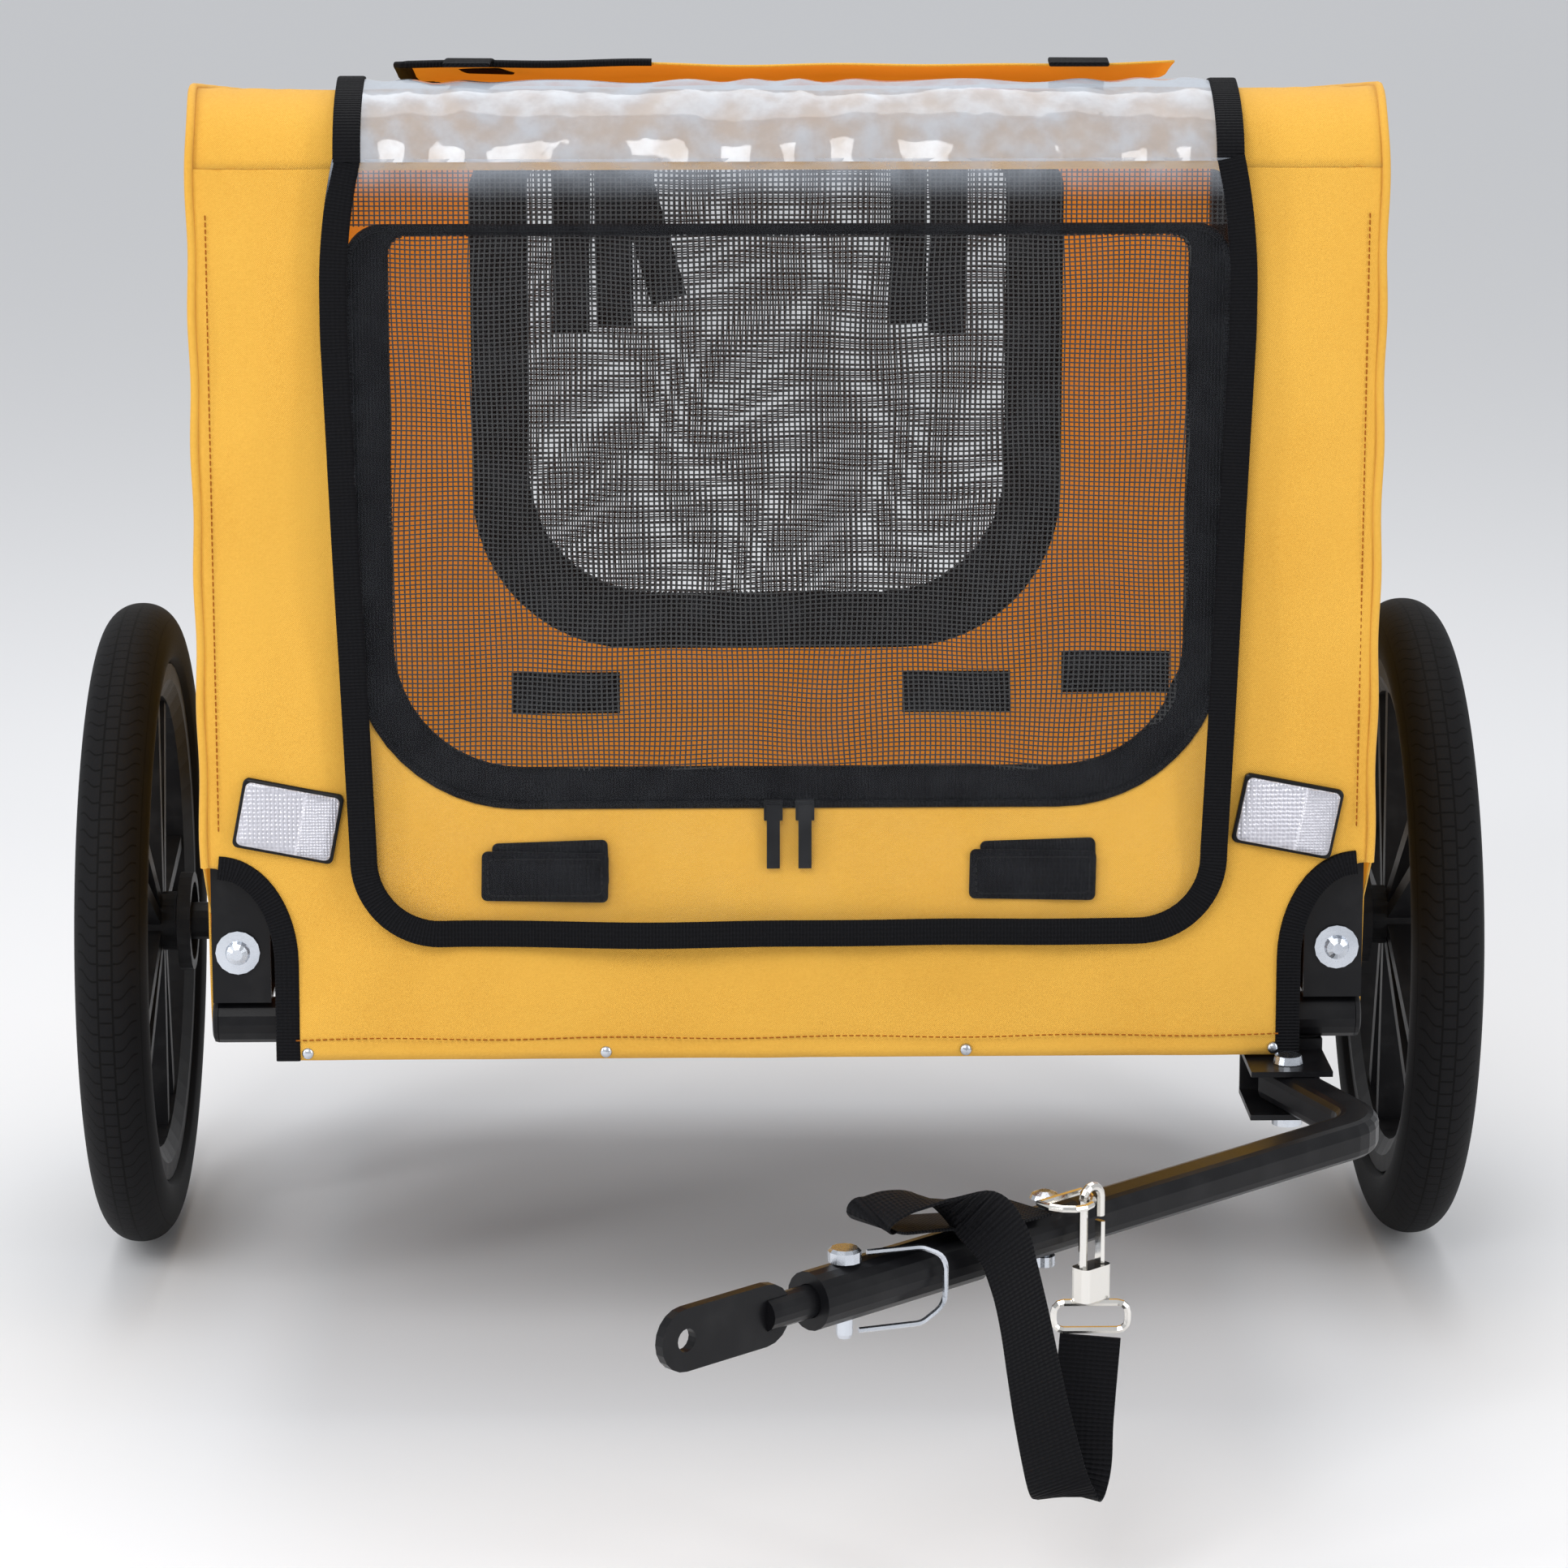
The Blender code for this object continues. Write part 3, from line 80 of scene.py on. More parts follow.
class Side(Enum):
    """The trailer's own two sides."""

    LEFT = 1
    RIGHT = -1

    @property
    def word(self) -> str:
        """The side's name in node names."""
        return self.name.lower()


# --- Shader writing -----------------------------------------------------------------------------
class Value:
    """A shader socket on which ordinary arithmetic can be written."""

    def __init__(self, paint: "Paint", socket: bpy.types.NodeSocket) -> None:
        """Wraps one output socket of the paint's nodes."""
        self.paint = paint
        self.socket = socket

    def __add__(self, other: "Value | float") -> "Value":
        """This plus other."""
        return self.paint.math("ADD", self, other)

    def __radd__(self, other: float) -> "Value":
        """Other plus this."""
        return self.paint.math("ADD", other, self)

    def __sub__(self, other: "Value | float") -> "Value":
        """This minus other."""
        return self.paint.math("SUBTRACT", self, other)

    def __rsub__(self, other: float) -> "Value":
        """Other minus this."""
        return self.paint.math("SUBTRACT", other, self)

    def __mul__(self, other: "Value | float") -> "Value":
        """This times other."""
        return self.paint.math("MULTIPLY", self, other)

    def __rmul__(self, other: float) -> "Value":
        """Other times this."""
        return self.paint.math("MULTIPLY", other, self)

    def __truediv__(self, other: "Value | float") -> "Value":
        """This divided by other."""
        return self.paint.math("DIVIDE", self, other)

    def sine(self) -> "Value":
        """Its sine."""
        return self.paint.math("SINE", self)

    def size(self) -> "Value":
        """Its absolute value."""
        return self.paint.math("ABSOLUTE", self)

    def fraction(self) -> "Value":
        """Its fractional part."""
        return self.paint.math("FRACT", self)

    def below(self, limit: float) -> "Value":
        """One where it is under the limit, else zero."""
        return self.paint.math("LESS_THAN", self, limit)

    def ramp(self, low: float, high: float) -> "Value":
        """Rises smoothly from 0 at low to 1 at high."""
        node = self.paint.node(
            "ShaderNodeMapRange",
            {"interpolation_type": "SMOOTHSTEP", "clamp": True},
            {"Value": self, "From Min": low, "From Max": high, "To Min": 0.0, "To Max": 1.0},
        )
        return Value(self.paint, node.outputs[0])


class Paint:
    """The nodes of one material, with a Principled shader on its output."""

    def __init__(self, name: str) -> None:
        """Starts a material of the name."""
        self.material = bpy.data.materials.new(name)
        self.material.use_nodes = True
        self.tree = self.material.node_tree
        self.shader = self.tree.nodes["Principled BSDF"]
        self.output = self.tree.nodes["Material Output"]

    def node(self, kind: str, settings: dict | None = None, values: dict | None = None) -> bpy.types.Node:
        """Adds a node.

        Args:
            kind: The node's type.
            settings: Its properties, set first.
            values: Its input sockets by name or number: a Value or socket is linked, a number is set.

        Returns:
            The node.
        """
        made = self.tree.nodes.new(kind)
        for key, value in (settings or {}).items():
            setattr(made, key, value)
        for key, value in (values or {}).items():
            if isinstance(value, Value):
                value = value.socket
            if isinstance(value, bpy.types.NodeSocket):
                self.tree.links.new(value, made.inputs[key])
            else:
                made.inputs[key].default_value = value
        return made

    def math(self, operation: str, *terms: "Value | float") -> Value:
        """One Math node of the operation on the terms."""
        made = self.node("ShaderNodeMath", {"operation": operation}, dict(enumerate(terms)))
        return Value(self, made.outputs[0])

    def place(self, source: str = "Object") -> tuple[Value, Value, Value]:
        """The three numbers of the piece's Object coordinates, or of its UV map."""
        coordinates = self.node("ShaderNodeTexCoord")
        split = self.node("ShaderNodeSeparateXYZ", None, {0: coordinates.outputs[source]})
        return Value(self, split.outputs[0]), Value(self, split.outputs[1]), Value(self, split.outputs[2])

    def noise(self, scale: float, detail: float = 2.0) -> Value:
        """Soft noise from 0 to 1, with scale in waves to the metre."""
        coordinates = self.node("ShaderNodeTexCoord")
        values = {"Vector": coordinates.outputs["Object"], "Scale": scale, "Detail": detail}
        made = self.node("ShaderNodeTexNoise", None, values)
        return Value(self, made.outputs[0])

    def mix(self, share: Value, first: Colour, second: Colour) -> bpy.types.NodeSocket:
        """A colour going from first to second as share goes from 0 to 1."""
        made = self.node(
            "ShaderNodeMix", {"data_type": "RGBA"}, {0: share, 6: (*first, 1.0), 7: (*second, 1.0)}
        )
        return made.outputs[2]

    def bump(self, height: Value, depth: float, strength: float = 1.0) -> bpy.types.NodeSocket:
        """A normal raised by height, which is depth metres at 1."""
        made = self.node("ShaderNodeBump", None, {"Strength": strength, "Distance": depth, "Height": height})
        return made.outputs["Normal"]

    def feed(self, name: str, value: "Value | bpy.types.NodeSocket") -> None:
        """Links what changes over the surface to the shader."""
        socket = value.socket if isinstance(value, Value) else value
        self.tree.links.new(socket, self.shader.inputs[name])

    def keep(self, **constants: float) -> None:
        """Sets the shader's own sockets, named with _ for a space."""
        for name, value in constants.items():
            self.shader.inputs[name.replace("_", " ")].default_value = value


# --- Finishes -----------------------------------------------------------------------------------
@dataclass(frozen=True)
class Hard:
    """A painted, moulded or plated finish with a fine grain and cloudy wear."""

    name: str
    colour: Colour
    worn: Colour
    roughness: float
    spread: float
    grain: float
    relief: float
    metallic: float = 0.0
    coat: float = 0.0

    def make(self) -> bpy.types.Material:
        """The material."""
        paint = Paint(self.name)
        fine = paint.noise(self.grain, 3.0)
        cloud = paint.noise(self.grain / 30, 4.0)
        paint.feed("Base Color", paint.mix(cloud.ramp(0.42, 0.74), self.colour, self.worn))
        paint.feed("Roughness", fine * self.spread + cloud * self.spread + (self.roughness - self.spread))
        paint.feed("Normal", paint.bump(fine, self.relief))
        shine = 0.5 if self.metallic else 0.12
        paint.keep(Metallic=self.metallic, Coat_Weight=self.coat, Coat_Roughness=0.2,
                   Specular_IOR_Level=shine)
        return paint.material


@dataclass(frozen=True)
class Woven:
    """A coated plain-weave cloth: warp and weft humps, slubs and cloudy shading. UVs are in metres.

    glow is the daylight that comes through the thin cloth to its inner face.
    """

    name: str
    colour: Colour
    shade: Colour
    pitch: float = 0.0011
    relief: float = 0.00012
    roughness: float = 0.74
    glow: float = 0.0

    def make(self) -> bpy.types.Material:
        """The material."""
        paint = Paint(self.name)
        u, v, _ = paint.place("UV")
        turns = 2 * math.pi / self.pitch
        weave = (u * turns).sine() * (v * turns).sine()
        slub = paint.noise(700.0, 2.0)
        cloud = paint.noise(9.0, 4.0)
        shading = weave * 0.10 + slub * 0.35 + cloud * 0.55
        paint.feed("Base Color", paint.mix(shading.ramp(0.25, 0.85), self.colour, self.shade))
        paint.feed("Roughness", slub * 0.16 + (self.roughness - 0.08))
        paint.feed("Normal", paint.bump(weave + slub * 1.6, self.relief))
        paint.keep(Sheen_Weight=0.08, Sheen_Roughness=0.5, Specular_IOR_Level=0.2)
        if self.glow:
            paint.feed("Emission Color", paint.mix(cloud, self.colour, self.shade))
            paint.keep(Emission_Strength=self.glow)
        return paint.material


@dataclass(frozen=True)
class Netting:
    """An open square net of round coated threads. UVs are in metres."""

    name: str
    colour: Colour
    across: float
    upright: float
    open_share: float

    def make(self) -> bpy.types.Material:
        """The material, clear inside each square of the net."""
        paint = Paint(self.name)
        u, v, _ = paint.place("UV")
        gap_u = ((u / self.across).fraction() - 0.5).size()
        gap_v = ((v / self.upright).fraction() - 0.5).size()
        hole = gap_u.below(self.open_share / 2) * gap_v.below(self.open_share / 2)
        dust = paint.noise(500.0, 2.0)
        paint.feed("Base Color", paint.mix(dust, self.colour, tuple(2.2 * c for c in self.colour)))
        paint.feed("Roughness", dust * 0.2 + 0.45)
        paint.feed("Normal", paint.bump(gap_u + gap_v, 0.0006))
        paint.feed("Alpha", 1 - hole)
        return paint.material


@dataclass(frozen=True)
class Film:
    """Clear flexible film: see-through, glossy at a slant, and grey-white above a height, a painted
    reflection of the overhead lamp where the creased film bends up towards the roof.
    """

    name: str
    haze: float
    painted_reflection: float
    low: float
    high: float

    def make(self) -> bpy.types.Material:
        """The material, a clear shader mixed with a glossy one."""
        paint = Paint(self.name)
        _, _, z = paint.place()
        waves = paint.noise(22.0, 3.0)
        streak = paint.noise(60.0, 4.0)
        normal = paint.bump(waves, 0.004, 0.5)
        slant = Value(paint, paint.node("ShaderNodeLayerWeight", None, {"Blend": 0.5}).outputs["Facing"])
        # painted reflection: from the height low to high the film turns grey-white in streaks, standing in
        # for the overhead lamp mirrored where the film bends up
        cloud = z.ramp(self.low, self.high) * (streak.ramp(0.3, 0.75) * 0.35 + 0.65) * self.painted_reflection
        share = slant * slant * slant * 0.5 + cloud + (streak - 0.35) * self.haze + 0.012
        # the grey-blue base colour is partly painted reflection, for the grey surroundings mirrored in the
        # film, and partly the film's own haze
        paint.keep(Base_Color=(0.42, 0.46, 0.52, 1.0), Specular_IOR_Level=0.9)
        paint.feed("Roughness", streak * 0.06 + 0.03)
        paint.feed("Normal", normal)
        clear = paint.node("ShaderNodeBsdfTransparent")
        mixed = paint.node(
            "ShaderNodeMixShader", None, {0: share, 1: clear.outputs[0], 2: paint.shader.outputs[0]}
        )
        paint.tree.links.new(mixed.outputs[0], paint.output.inputs[0])
        return paint.material


@dataclass(frozen=True)
class Webbing:
    """Woven tape or strap with cross ribs along its length. UV u runs along it, in metres."""

    name: str
    colour: Colour
    rib: float = 0.0018
    relief: float = 0.0003

    def make(self) -> bpy.types.Material:
        """The material."""
        paint = Paint(self.name)
        u, v, _ = paint.place("UV")
        ribs = (u * (2 * math.pi / self.rib)).sine()
        cords = (v * (2 * math.pi / (self.rib * 1.4))).sine()
        fuzz = paint.noise(900.0, 2.0)
        light = tuple(2.0 * c + 0.001 for c in self.colour)
        paint.feed("Base Color", paint.mix((ribs * 0.25 + fuzz).ramp(0.3, 1.1), self.colour, light))
        paint.feed("Roughness", fuzz * 0.2 + 0.55)
        paint.feed("Normal", paint.bump(ribs + cords * 0.4 + fuzz, self.relief))
        paint.keep(Sheen_Weight=0.01, Sheen_Roughness=0.4, Specular_IOR_Level=0.10)
        return paint.material


@dataclass(frozen=True)
class Prism:
    """Clear reflector plastic backed by rows of small cube corners, a third of it in finer cells."""

    name: str
    split: float

    def make(self) -> bpy.types.Material:
        """The material; UV u runs from 0 to 1 over the lens."""
        paint = Paint(self.name)
        u, _, _ = paint.place("UV")
        where = paint.node("ShaderNodeTexCoord").outputs["Object"]
        cells = []
        for scale in (430.0, 620.0):
            values = {"Vector": where, "Scale": scale, "Randomness": 0.15}
            made = paint.node("ShaderNodeTexVoronoi", None, values)
            cells.append(Value(paint, made.outputs["Distance"]))
        zone = u.ramp(self.split - 0.005, self.split + 0.005)
        facet = cells[0] * (1 - zone) + cells[1] * zone
        bar = 1 - (u - self.split).size().ramp(0.012, 0.02)
        paint.feed("Base Color", paint.mix(facet * 0.9 + bar * 0.5, (0.40, 0.40, 0.45), (0.66, 0.65, 0.71)))
        paint.feed("Normal", paint.bump(facet, 0.0012))
        paint.feed("Roughness", facet * 0.2 + 0.08)
        paint.keep(Metallic=0.25, Coat_Weight=1.0, Coat_Roughness=0.03)
        return paint.material


@dataclass(frozen=True)
class Tread:
    """Tyre rubber: a centre rib cut into blocks, wavy slanted sipes on both shoulders. UVs are in metres."""

    name: str

    def make(self) -> bpy.types.Material:
        """The material."""
        paint = Paint(self.name)
        u, v, _ = paint.place("UV")
        off = v.size()
        blocks = ((u / 0.0085).fraction() - 0.5).size().below(0.07)
        rib_edge = ((off - 0.0042).size()).below(0.0006)
        rib = (off.below(0.0042)) * blocks
        slanted = ((u + off * 0.55 + (off * 520.0).sine() * 0.0012) / 0.0105).fraction()
        sipe = (slanted - 0.5).size().below(0.06) * (1 - off.below(0.0048)) * off.below(0.019)
        ring = ((off - 0.0225).size()).below(0.0004)
        crown, shoulder = paint.math("MAXIMUM", rib, rib_edge), paint.math("MAXIMUM", sipe, ring)
        groove = paint.math("MAXIMUM", crown, shoulder)
        grit = paint.noise(1100.0, 2.0)
        # painted shade: the grooves, sipes and the shoulder ring are drawn darker than the rubber, for the
        # shade inside them
        paint.feed("Base Color", paint.mix(groove, (0.0070, 0.0070, 0.0078), (0.0015, 0.0015, 0.0015)))
        paint.feed("Roughness", grit * 0.18 + 0.58)
        paint.feed("Normal", paint.bump(grit * 0.06 - groove, 0.0011))
        paint.keep(Specular_IOR_Level=0.12)
        return paint.material


class Finish(Enum):
    """Every finish of the trailer."""

    STEEL = Hard(
        "powder_coated_steel", (0.005, 0.005, 0.006), (0.010, 0.010, 0.011), 0.36, 0.12, 1400, 0.00006,
        coat=0.12
    )
    PLASTIC = Hard("moulded_plastic", (0.009, 0.009, 0.010), (0.016, 0.016, 0.017), 0.46, 0.14, 1800,
                   0.00008)
    GLOSS = Hard("gloss_black_rim", (0.010, 0.010, 0.011), (0.018, 0.018, 0.018), 0.25, 0.08, 900, 0.00002)
    ZINC = Hard("bright_zinc", (0.60, 0.63, 0.68), (0.44, 0.47, 0.52), 0.26, 0.12, 700, 0.00003, 1.0)
    NICKEL = Hard("nickel_plate", (0.74, 0.72, 0.68), (0.58, 0.56, 0.52), 0.16, 0.08, 500, 0.00002, 1.0)
    BOARD = Hard("floor_board_black", (0.02, 0.02, 0.02), (0.03, 0.03, 0.03), 0.6, 0.1, 900, 0.0001)
    TREAD = Tread("tyre_rubber_tread")
    CLOTH = Woven("yellow_cloth", (0.78, 0.430, 0.062), (0.66, 0.325, 0.036))
    # painted light: the cloth's inner face is a deeper orange copy of the yellow cloth that glows, standing
    # in for daylight shining through the cloth into the cabin
    BACKLIT_CLOTH = Woven("cloth_back_painted_backlight", (0.70, 0.28, 0.018), (0.55, 0.19, 0.010), glow=0.55)
    EDGE = Webbing("black_edge_tape", (0.0035, 0.0035, 0.0045))
    STRAP = Webbing("black_strap_webbing", (0.0035, 0.0035, 0.0045), 0.0022, 0.0004)
    THREAD = Webbing("orange_thread", (0.42, 0.13, 0.012), 0.0006, 0.0001)
    DARK_THREAD = Webbing("black_thread", (0.012, 0.012, 0.013), 0.0006, 0.0001)
    FRONT_NET = Netting("front_door_net", (0.008, 0.008, 0.008), 0.00275, 0.00245, 0.70)
    REAR_NET = Netting("rear_door_net", (0.010, 0.010, 0.010), 0.0037, 0.0035, 0.66)
    # a film's third number sets the strength of its painted reflection of the overhead lamp
    FILM = Film("flap_film", 0.03, 0.50, 0.668, 0.690)
    ROOF_FILM = Film("creased_film", 0.08, 0.78, 0.600, 0.680)
    LENS = Prism("reflector_lens", 0.64)

    def material(self) -> bpy.types.Material:
        """The finish's material, made the first time it is asked for."""
        found = bpy.data.materials.get(self.value.name)
        return found or self.value.make()


# --- Surfaces -----------------------------------------------------------------------------------
def grid_object(
    name: str,
    points: Array,
    uv: Array,
    finishes: list[Finish],
    wrap_rows: bool = False,
    wrap_cols: bool = False,
    caps: bool = False,
    facing: Array | None = None,
) -> bpy.types.Object:
    """An object of one grid of points: each cell of the grid is a quad between four neighbours.

    Args:
        name: The piece's name.
        points: Rows by columns by 3, in metres.
        uv: Rows by columns by 2, with one more row or column where that way wraps.
        finishes: Its material slots.
        wrap_rows: Whether the last row meets the first.
        wrap_cols: Whether the last column meets the first.
        caps: Whether the first and last rows are closed with a face.
        facing: The way an open sheet looks; a closed surface has its normals recalculated instead.

    Returns:
        The object, at the origin.
    """
    rows, cols = points.shape[:2]
    i, j = np.meshgrid(
        np.arange(rows if wrap_rows else rows - 1), np.arange(cols if wrap_cols else cols - 1), indexing="ij"
    )
    i_next = (i + 1) % rows
    j_next = (j + 1) % cols
    faces = np.stack([i * cols + j, i * cols + j_next, i_next * cols + j_next, i_next * cols + j], -1)
    faces = faces.reshape(-1, 4)
    corners = np.stack([uv[i, j], uv[i, j + 1], uv[i + 1, j + 1], uv[i + 1, j]], -2).reshape(-1, 2)
    flat = points.reshape(-1, 3)
    if facing is not None:
        first, second, third = flat[faces[:, 0]], flat[faces[:, 1]], flat[faces[:, 2]]
        if np.cross(second - first, third - first).sum(0) @ np.asarray(facing, float) < 0:
            faces = faces[:, ::-1]
            corners = corners.reshape(-1, 4, 2)[:, ::-1].reshape(-1, 2)
    listed = faces.tolist()
    if caps:
        listed += [list(range(cols)), list(range((rows - 1) * cols, rows * cols))]
        ends = np.concatenate([uv[0, :cols], uv[rows - 1, :cols]])
        corners = np.concatenate([corners, ends])
    mesh = bpy.data.meshes.new(name)
    mesh.from_pydata(flat.tolist(), [], listed)
    layer = mesh.uv_layers.new(name="UVMap")
    layer.data.foreach_set("uv", corners.astype(np.float32).ravel())
    for finish in finishes:
        mesh.materials.append(finish.material())
    if facing is None:
        shape = bmesh.new()
        shape.from_mesh(mesh)
        bmesh.ops.recalc_face_normals(shape, faces=shape.faces)
        shape.to_mesh(mesh)
        shape.free()
    mesh.shade_smooth()
    mesh.set_sharp_from_angle(angle=math.radians(CREASE_ANGLE))
    made = bpy.data.objects.new(name, mesh)
    bpy.context.scene.collection.objects.link(made)
    return made


def thicken(piece: bpy.types.Object, thickness: float, backlit_inside: bool = False) -> None:
    """Gives an open sheet its wall inwards; a backlit one shows its second finish on the back, painted light
    for the daylight that comes through the cloth.
    """
    wall = piece.modifiers.new("wall", "SOLIDIFY")
    wall.thickness = thickness
    wall.offset = -1.0
    wall.material_offset = 1 if backlit_inside else 0


def lengths_of(path: Array) -> Array:
    """Distance along a path at each of its points: the running sum of its steps."""
    return np.concatenate([[0.0], np.cumsum(np.linalg.norm(np.diff(path, axis=0), axis=1))])


def resample(path: Array, count: int) -> Array:
    """The path's points at even distances along it."""
    path = np.asarray(path, float)
    along = lengths_of(path)
    places = np.linspace(0, along[-1], count)
    return np.stack([np.interp(places, along, path[:, k]) for k in range(path.shape[1])], -1)


def smooth_curve(points: Array, steps: int) -> Array:
    """A Catmull-Rom curve: each span is the cubic through two points with slopes from their neighbours."""
    points = np.asarray(points, float)
    padded = np.concatenate([2 * points[:1] - points[1:2], points, 2 * points[-1:] - points[-2:-1]])
    share = np.linspace(0, 1, steps, endpoint=False)[None, :, None]
    a, b, c, d = (padded[k : k + len(points) - 1, None] for k in range(4))
    cubic = (d - a + 3 * (b - c)) * share**3 + (2 * a - 5 * b + 4 * c - d) * share**2 + (c - a) * share
    return np.concatenate([(b + cubic / 2).reshape(-1, points.shape[1]), points[-1:]])


def carry(path: Array, section: Array, across: Array, wrap: bool = False) -> Array:
    """A section carried along a path: its first axis keeps to across, its second is square to both."""
    path = np.asarray(path, float)
    if wrap:
        steps = np.roll(path, -1, axis=0) - np.roll(path, 1, axis=0)
    else:
        steps = np.gradient(path, axis=0)
    along = steps / np.linalg.norm(steps, axis=1, keepdims=True)
    across = np.broadcast_to(np.asarray(across, float), path.shape)
    across = across - (across * along).sum(1, keepdims=True) * along
    across = across / np.linalg.norm(across, axis=1, keepdims=True)
    upright = np.cross(across, along)
    return path[:, None] + section[None, :, :1] * across[:, None] + section[None, :, 1:] * upright[:, None]


def rounded_section(first: float, second: float, radius: float, steps: int = 3) -> Array:
    """A rectangle with round corners: a quarter circle about each corner's centre."""
    quarter = np.repeat(np.arange(4), steps + 1)
    angle = np.radians(90 * (quarter + np.tile(np.arange(steps + 1) / steps, 4)))
    signs = np.array([(1, 1), (-1, 1), (-1, -1), (1, -1)])[quarter]
    centres = signs * (np.array([first, second]) / 2 - radius)
    return centres + radius * np.stack([np.cos(angle), np.sin(angle)], -1)


def closed_across(points: Array) -> Array:
    """A grid with its first column repeated after its last, for a surface that wraps."""
    return np.concatenate([points, points[:, :1]], 1)


def ring_section(radius: float, sides: int = 10) -> Array:
    """Points of a circle."""
    angle = np.arange(sides) * 2 * math.pi / sides
    return radius * np.stack([np.cos(angle), np.sin(angle)], -1)


def swept(
    name: str, path: Array, section: Array, across: Array, finish: Finish, wrap: bool = False
) -> bpy.types.Object:
    """A closed bar, tape or wire: the section carried along the path, with UV u the distance along it."""
    points = carry(path, section, across, wrap)
    loop = np.concatenate([section, section[:1]])
    around = lengths_of(loop)
    route = np.concatenate([path, path[:1]]) if wrap else np.asarray(path, float)
    along = lengths_of(route)
    uv = np.stack(np.meshgrid(along, around, indexing="ij"), -1)
    return grid_object(name, points, uv, [finish], wrap_rows=wrap, wrap_cols=True, caps=not wrap)


def waves(a: Array, b: Array, seed: int, longest: float) -> Array:
    """Soft folds from -1 to 1: seven sines whose directions and lengths come from the seed."""
    random = np.random.default_rng(seed)
    turn = random.uniform(0, math.pi, 7)[:, None]
    reach = longest * random.uniform(0.35, 1.0, 7)[:, None]
    phase = random.uniform(0, 2 * math.pi, 7)[:, None]
    flat_a, flat_b = np.ravel(a)[None], np.ravel(b)[None]
    total = np.sin((flat_a * np.cos(turn) + flat_b * np.sin(turn)) * 2 * math.pi / reach + phase).sum(0)
    return (total / 4.2).reshape(np.shape(a))


def arc_points(x: float, z: float, radius: float, first: float, last: float, steps: int = 12) -> Array:
    """Points of an arc about (x, z), its angles in degrees."""
    angle = np.radians(np.linspace(first, last, steps + 1))
    return np.stack([x + radius * np.cos(angle), z + radius * np.sin(angle)], -1)


def door_loop(half: float, bottom: float, top: float, low: float, high: float) -> Array:
    """An upright rectangle about x = 0 with round lower and upper corners, counter-clockwise."""
    return np.concatenate([
        arc_points(half - low, bottom + low, low, -90, 0),
        arc_points(half - high, top - high, high, 0, 90),
        arc_points(high - half, top - high, high, 90, 180),
        arc_points(low - half, bottom + low, low, 180, 270),
    ])


def reach_of(loop: Array, centre: Array, angles: Array) -> Array:
    """How far a ray at each angle runs from the centre to the loop, by crossing it with every side."""
    start = loop - centre
    side = np.roll(loop, -1, axis=0) - loop
    ray = np.stack([np.cos(angles), np.sin(angles)], -1)[:, None]
    span = ray[..., 0] * side[:, 1] - ray[..., 1] * side[:, 0]
    span = np.where(np.abs(span) < 1e-12, 1e-12, span)
    out = (start[:, 0] * side[:, 1] - start[:, 1] * side[:, 0]) / span
    share = (start[:, 0] * ray[..., 1] - start[:, 1] * ray[..., 0]) / span
    return np.where((share > -1e-6) & (share < 1 + 1e-6) & (out > 0), out, 0).max(1)


def ring_grid(inner: Array, outer: Array, centre: Array, rows: int) -> tuple[Array, Array]:
    """A flat ring between two loops: straight lines between the loops' crossings with shared rays.

    Args:
        inner: The opening's loop.
        outer: The outline.
        centre: The point that the rays leave from.
        rows: How many loops of points from the opening to the outline.

    Returns:
        Points in the plane, rows by columns by 2, and the share from opening to outline.
    """
    corners = np.concatenate([inner, outer]) - centre
    angles = np.concatenate([np.arctan2(corners[:, 1], corners[:, 0]), np.linspace(-math.pi, math.pi, 300)])
    angles = np.unique(np.round(angles, 4))[:-1]
    near, far = reach_of(inner, centre, angles), reach_of(outer, centre, angles)
    share = np.linspace(0, 1, rows)[:, None]
    reach = near + (far - near) * share
    direction = np.stack([np.cos(angles), np.sin(angles)], -1)
    return centre + reach[..., None] * direction, np.broadcast_to(share, reach.shape)


def upright_path(flat: Array, y: float) -> Array:
    """Points (x, z) put on the upright plane at y."""
    return np.stack([flat[:, 0], np.full(len(flat), y), flat[:, 1]], -1)


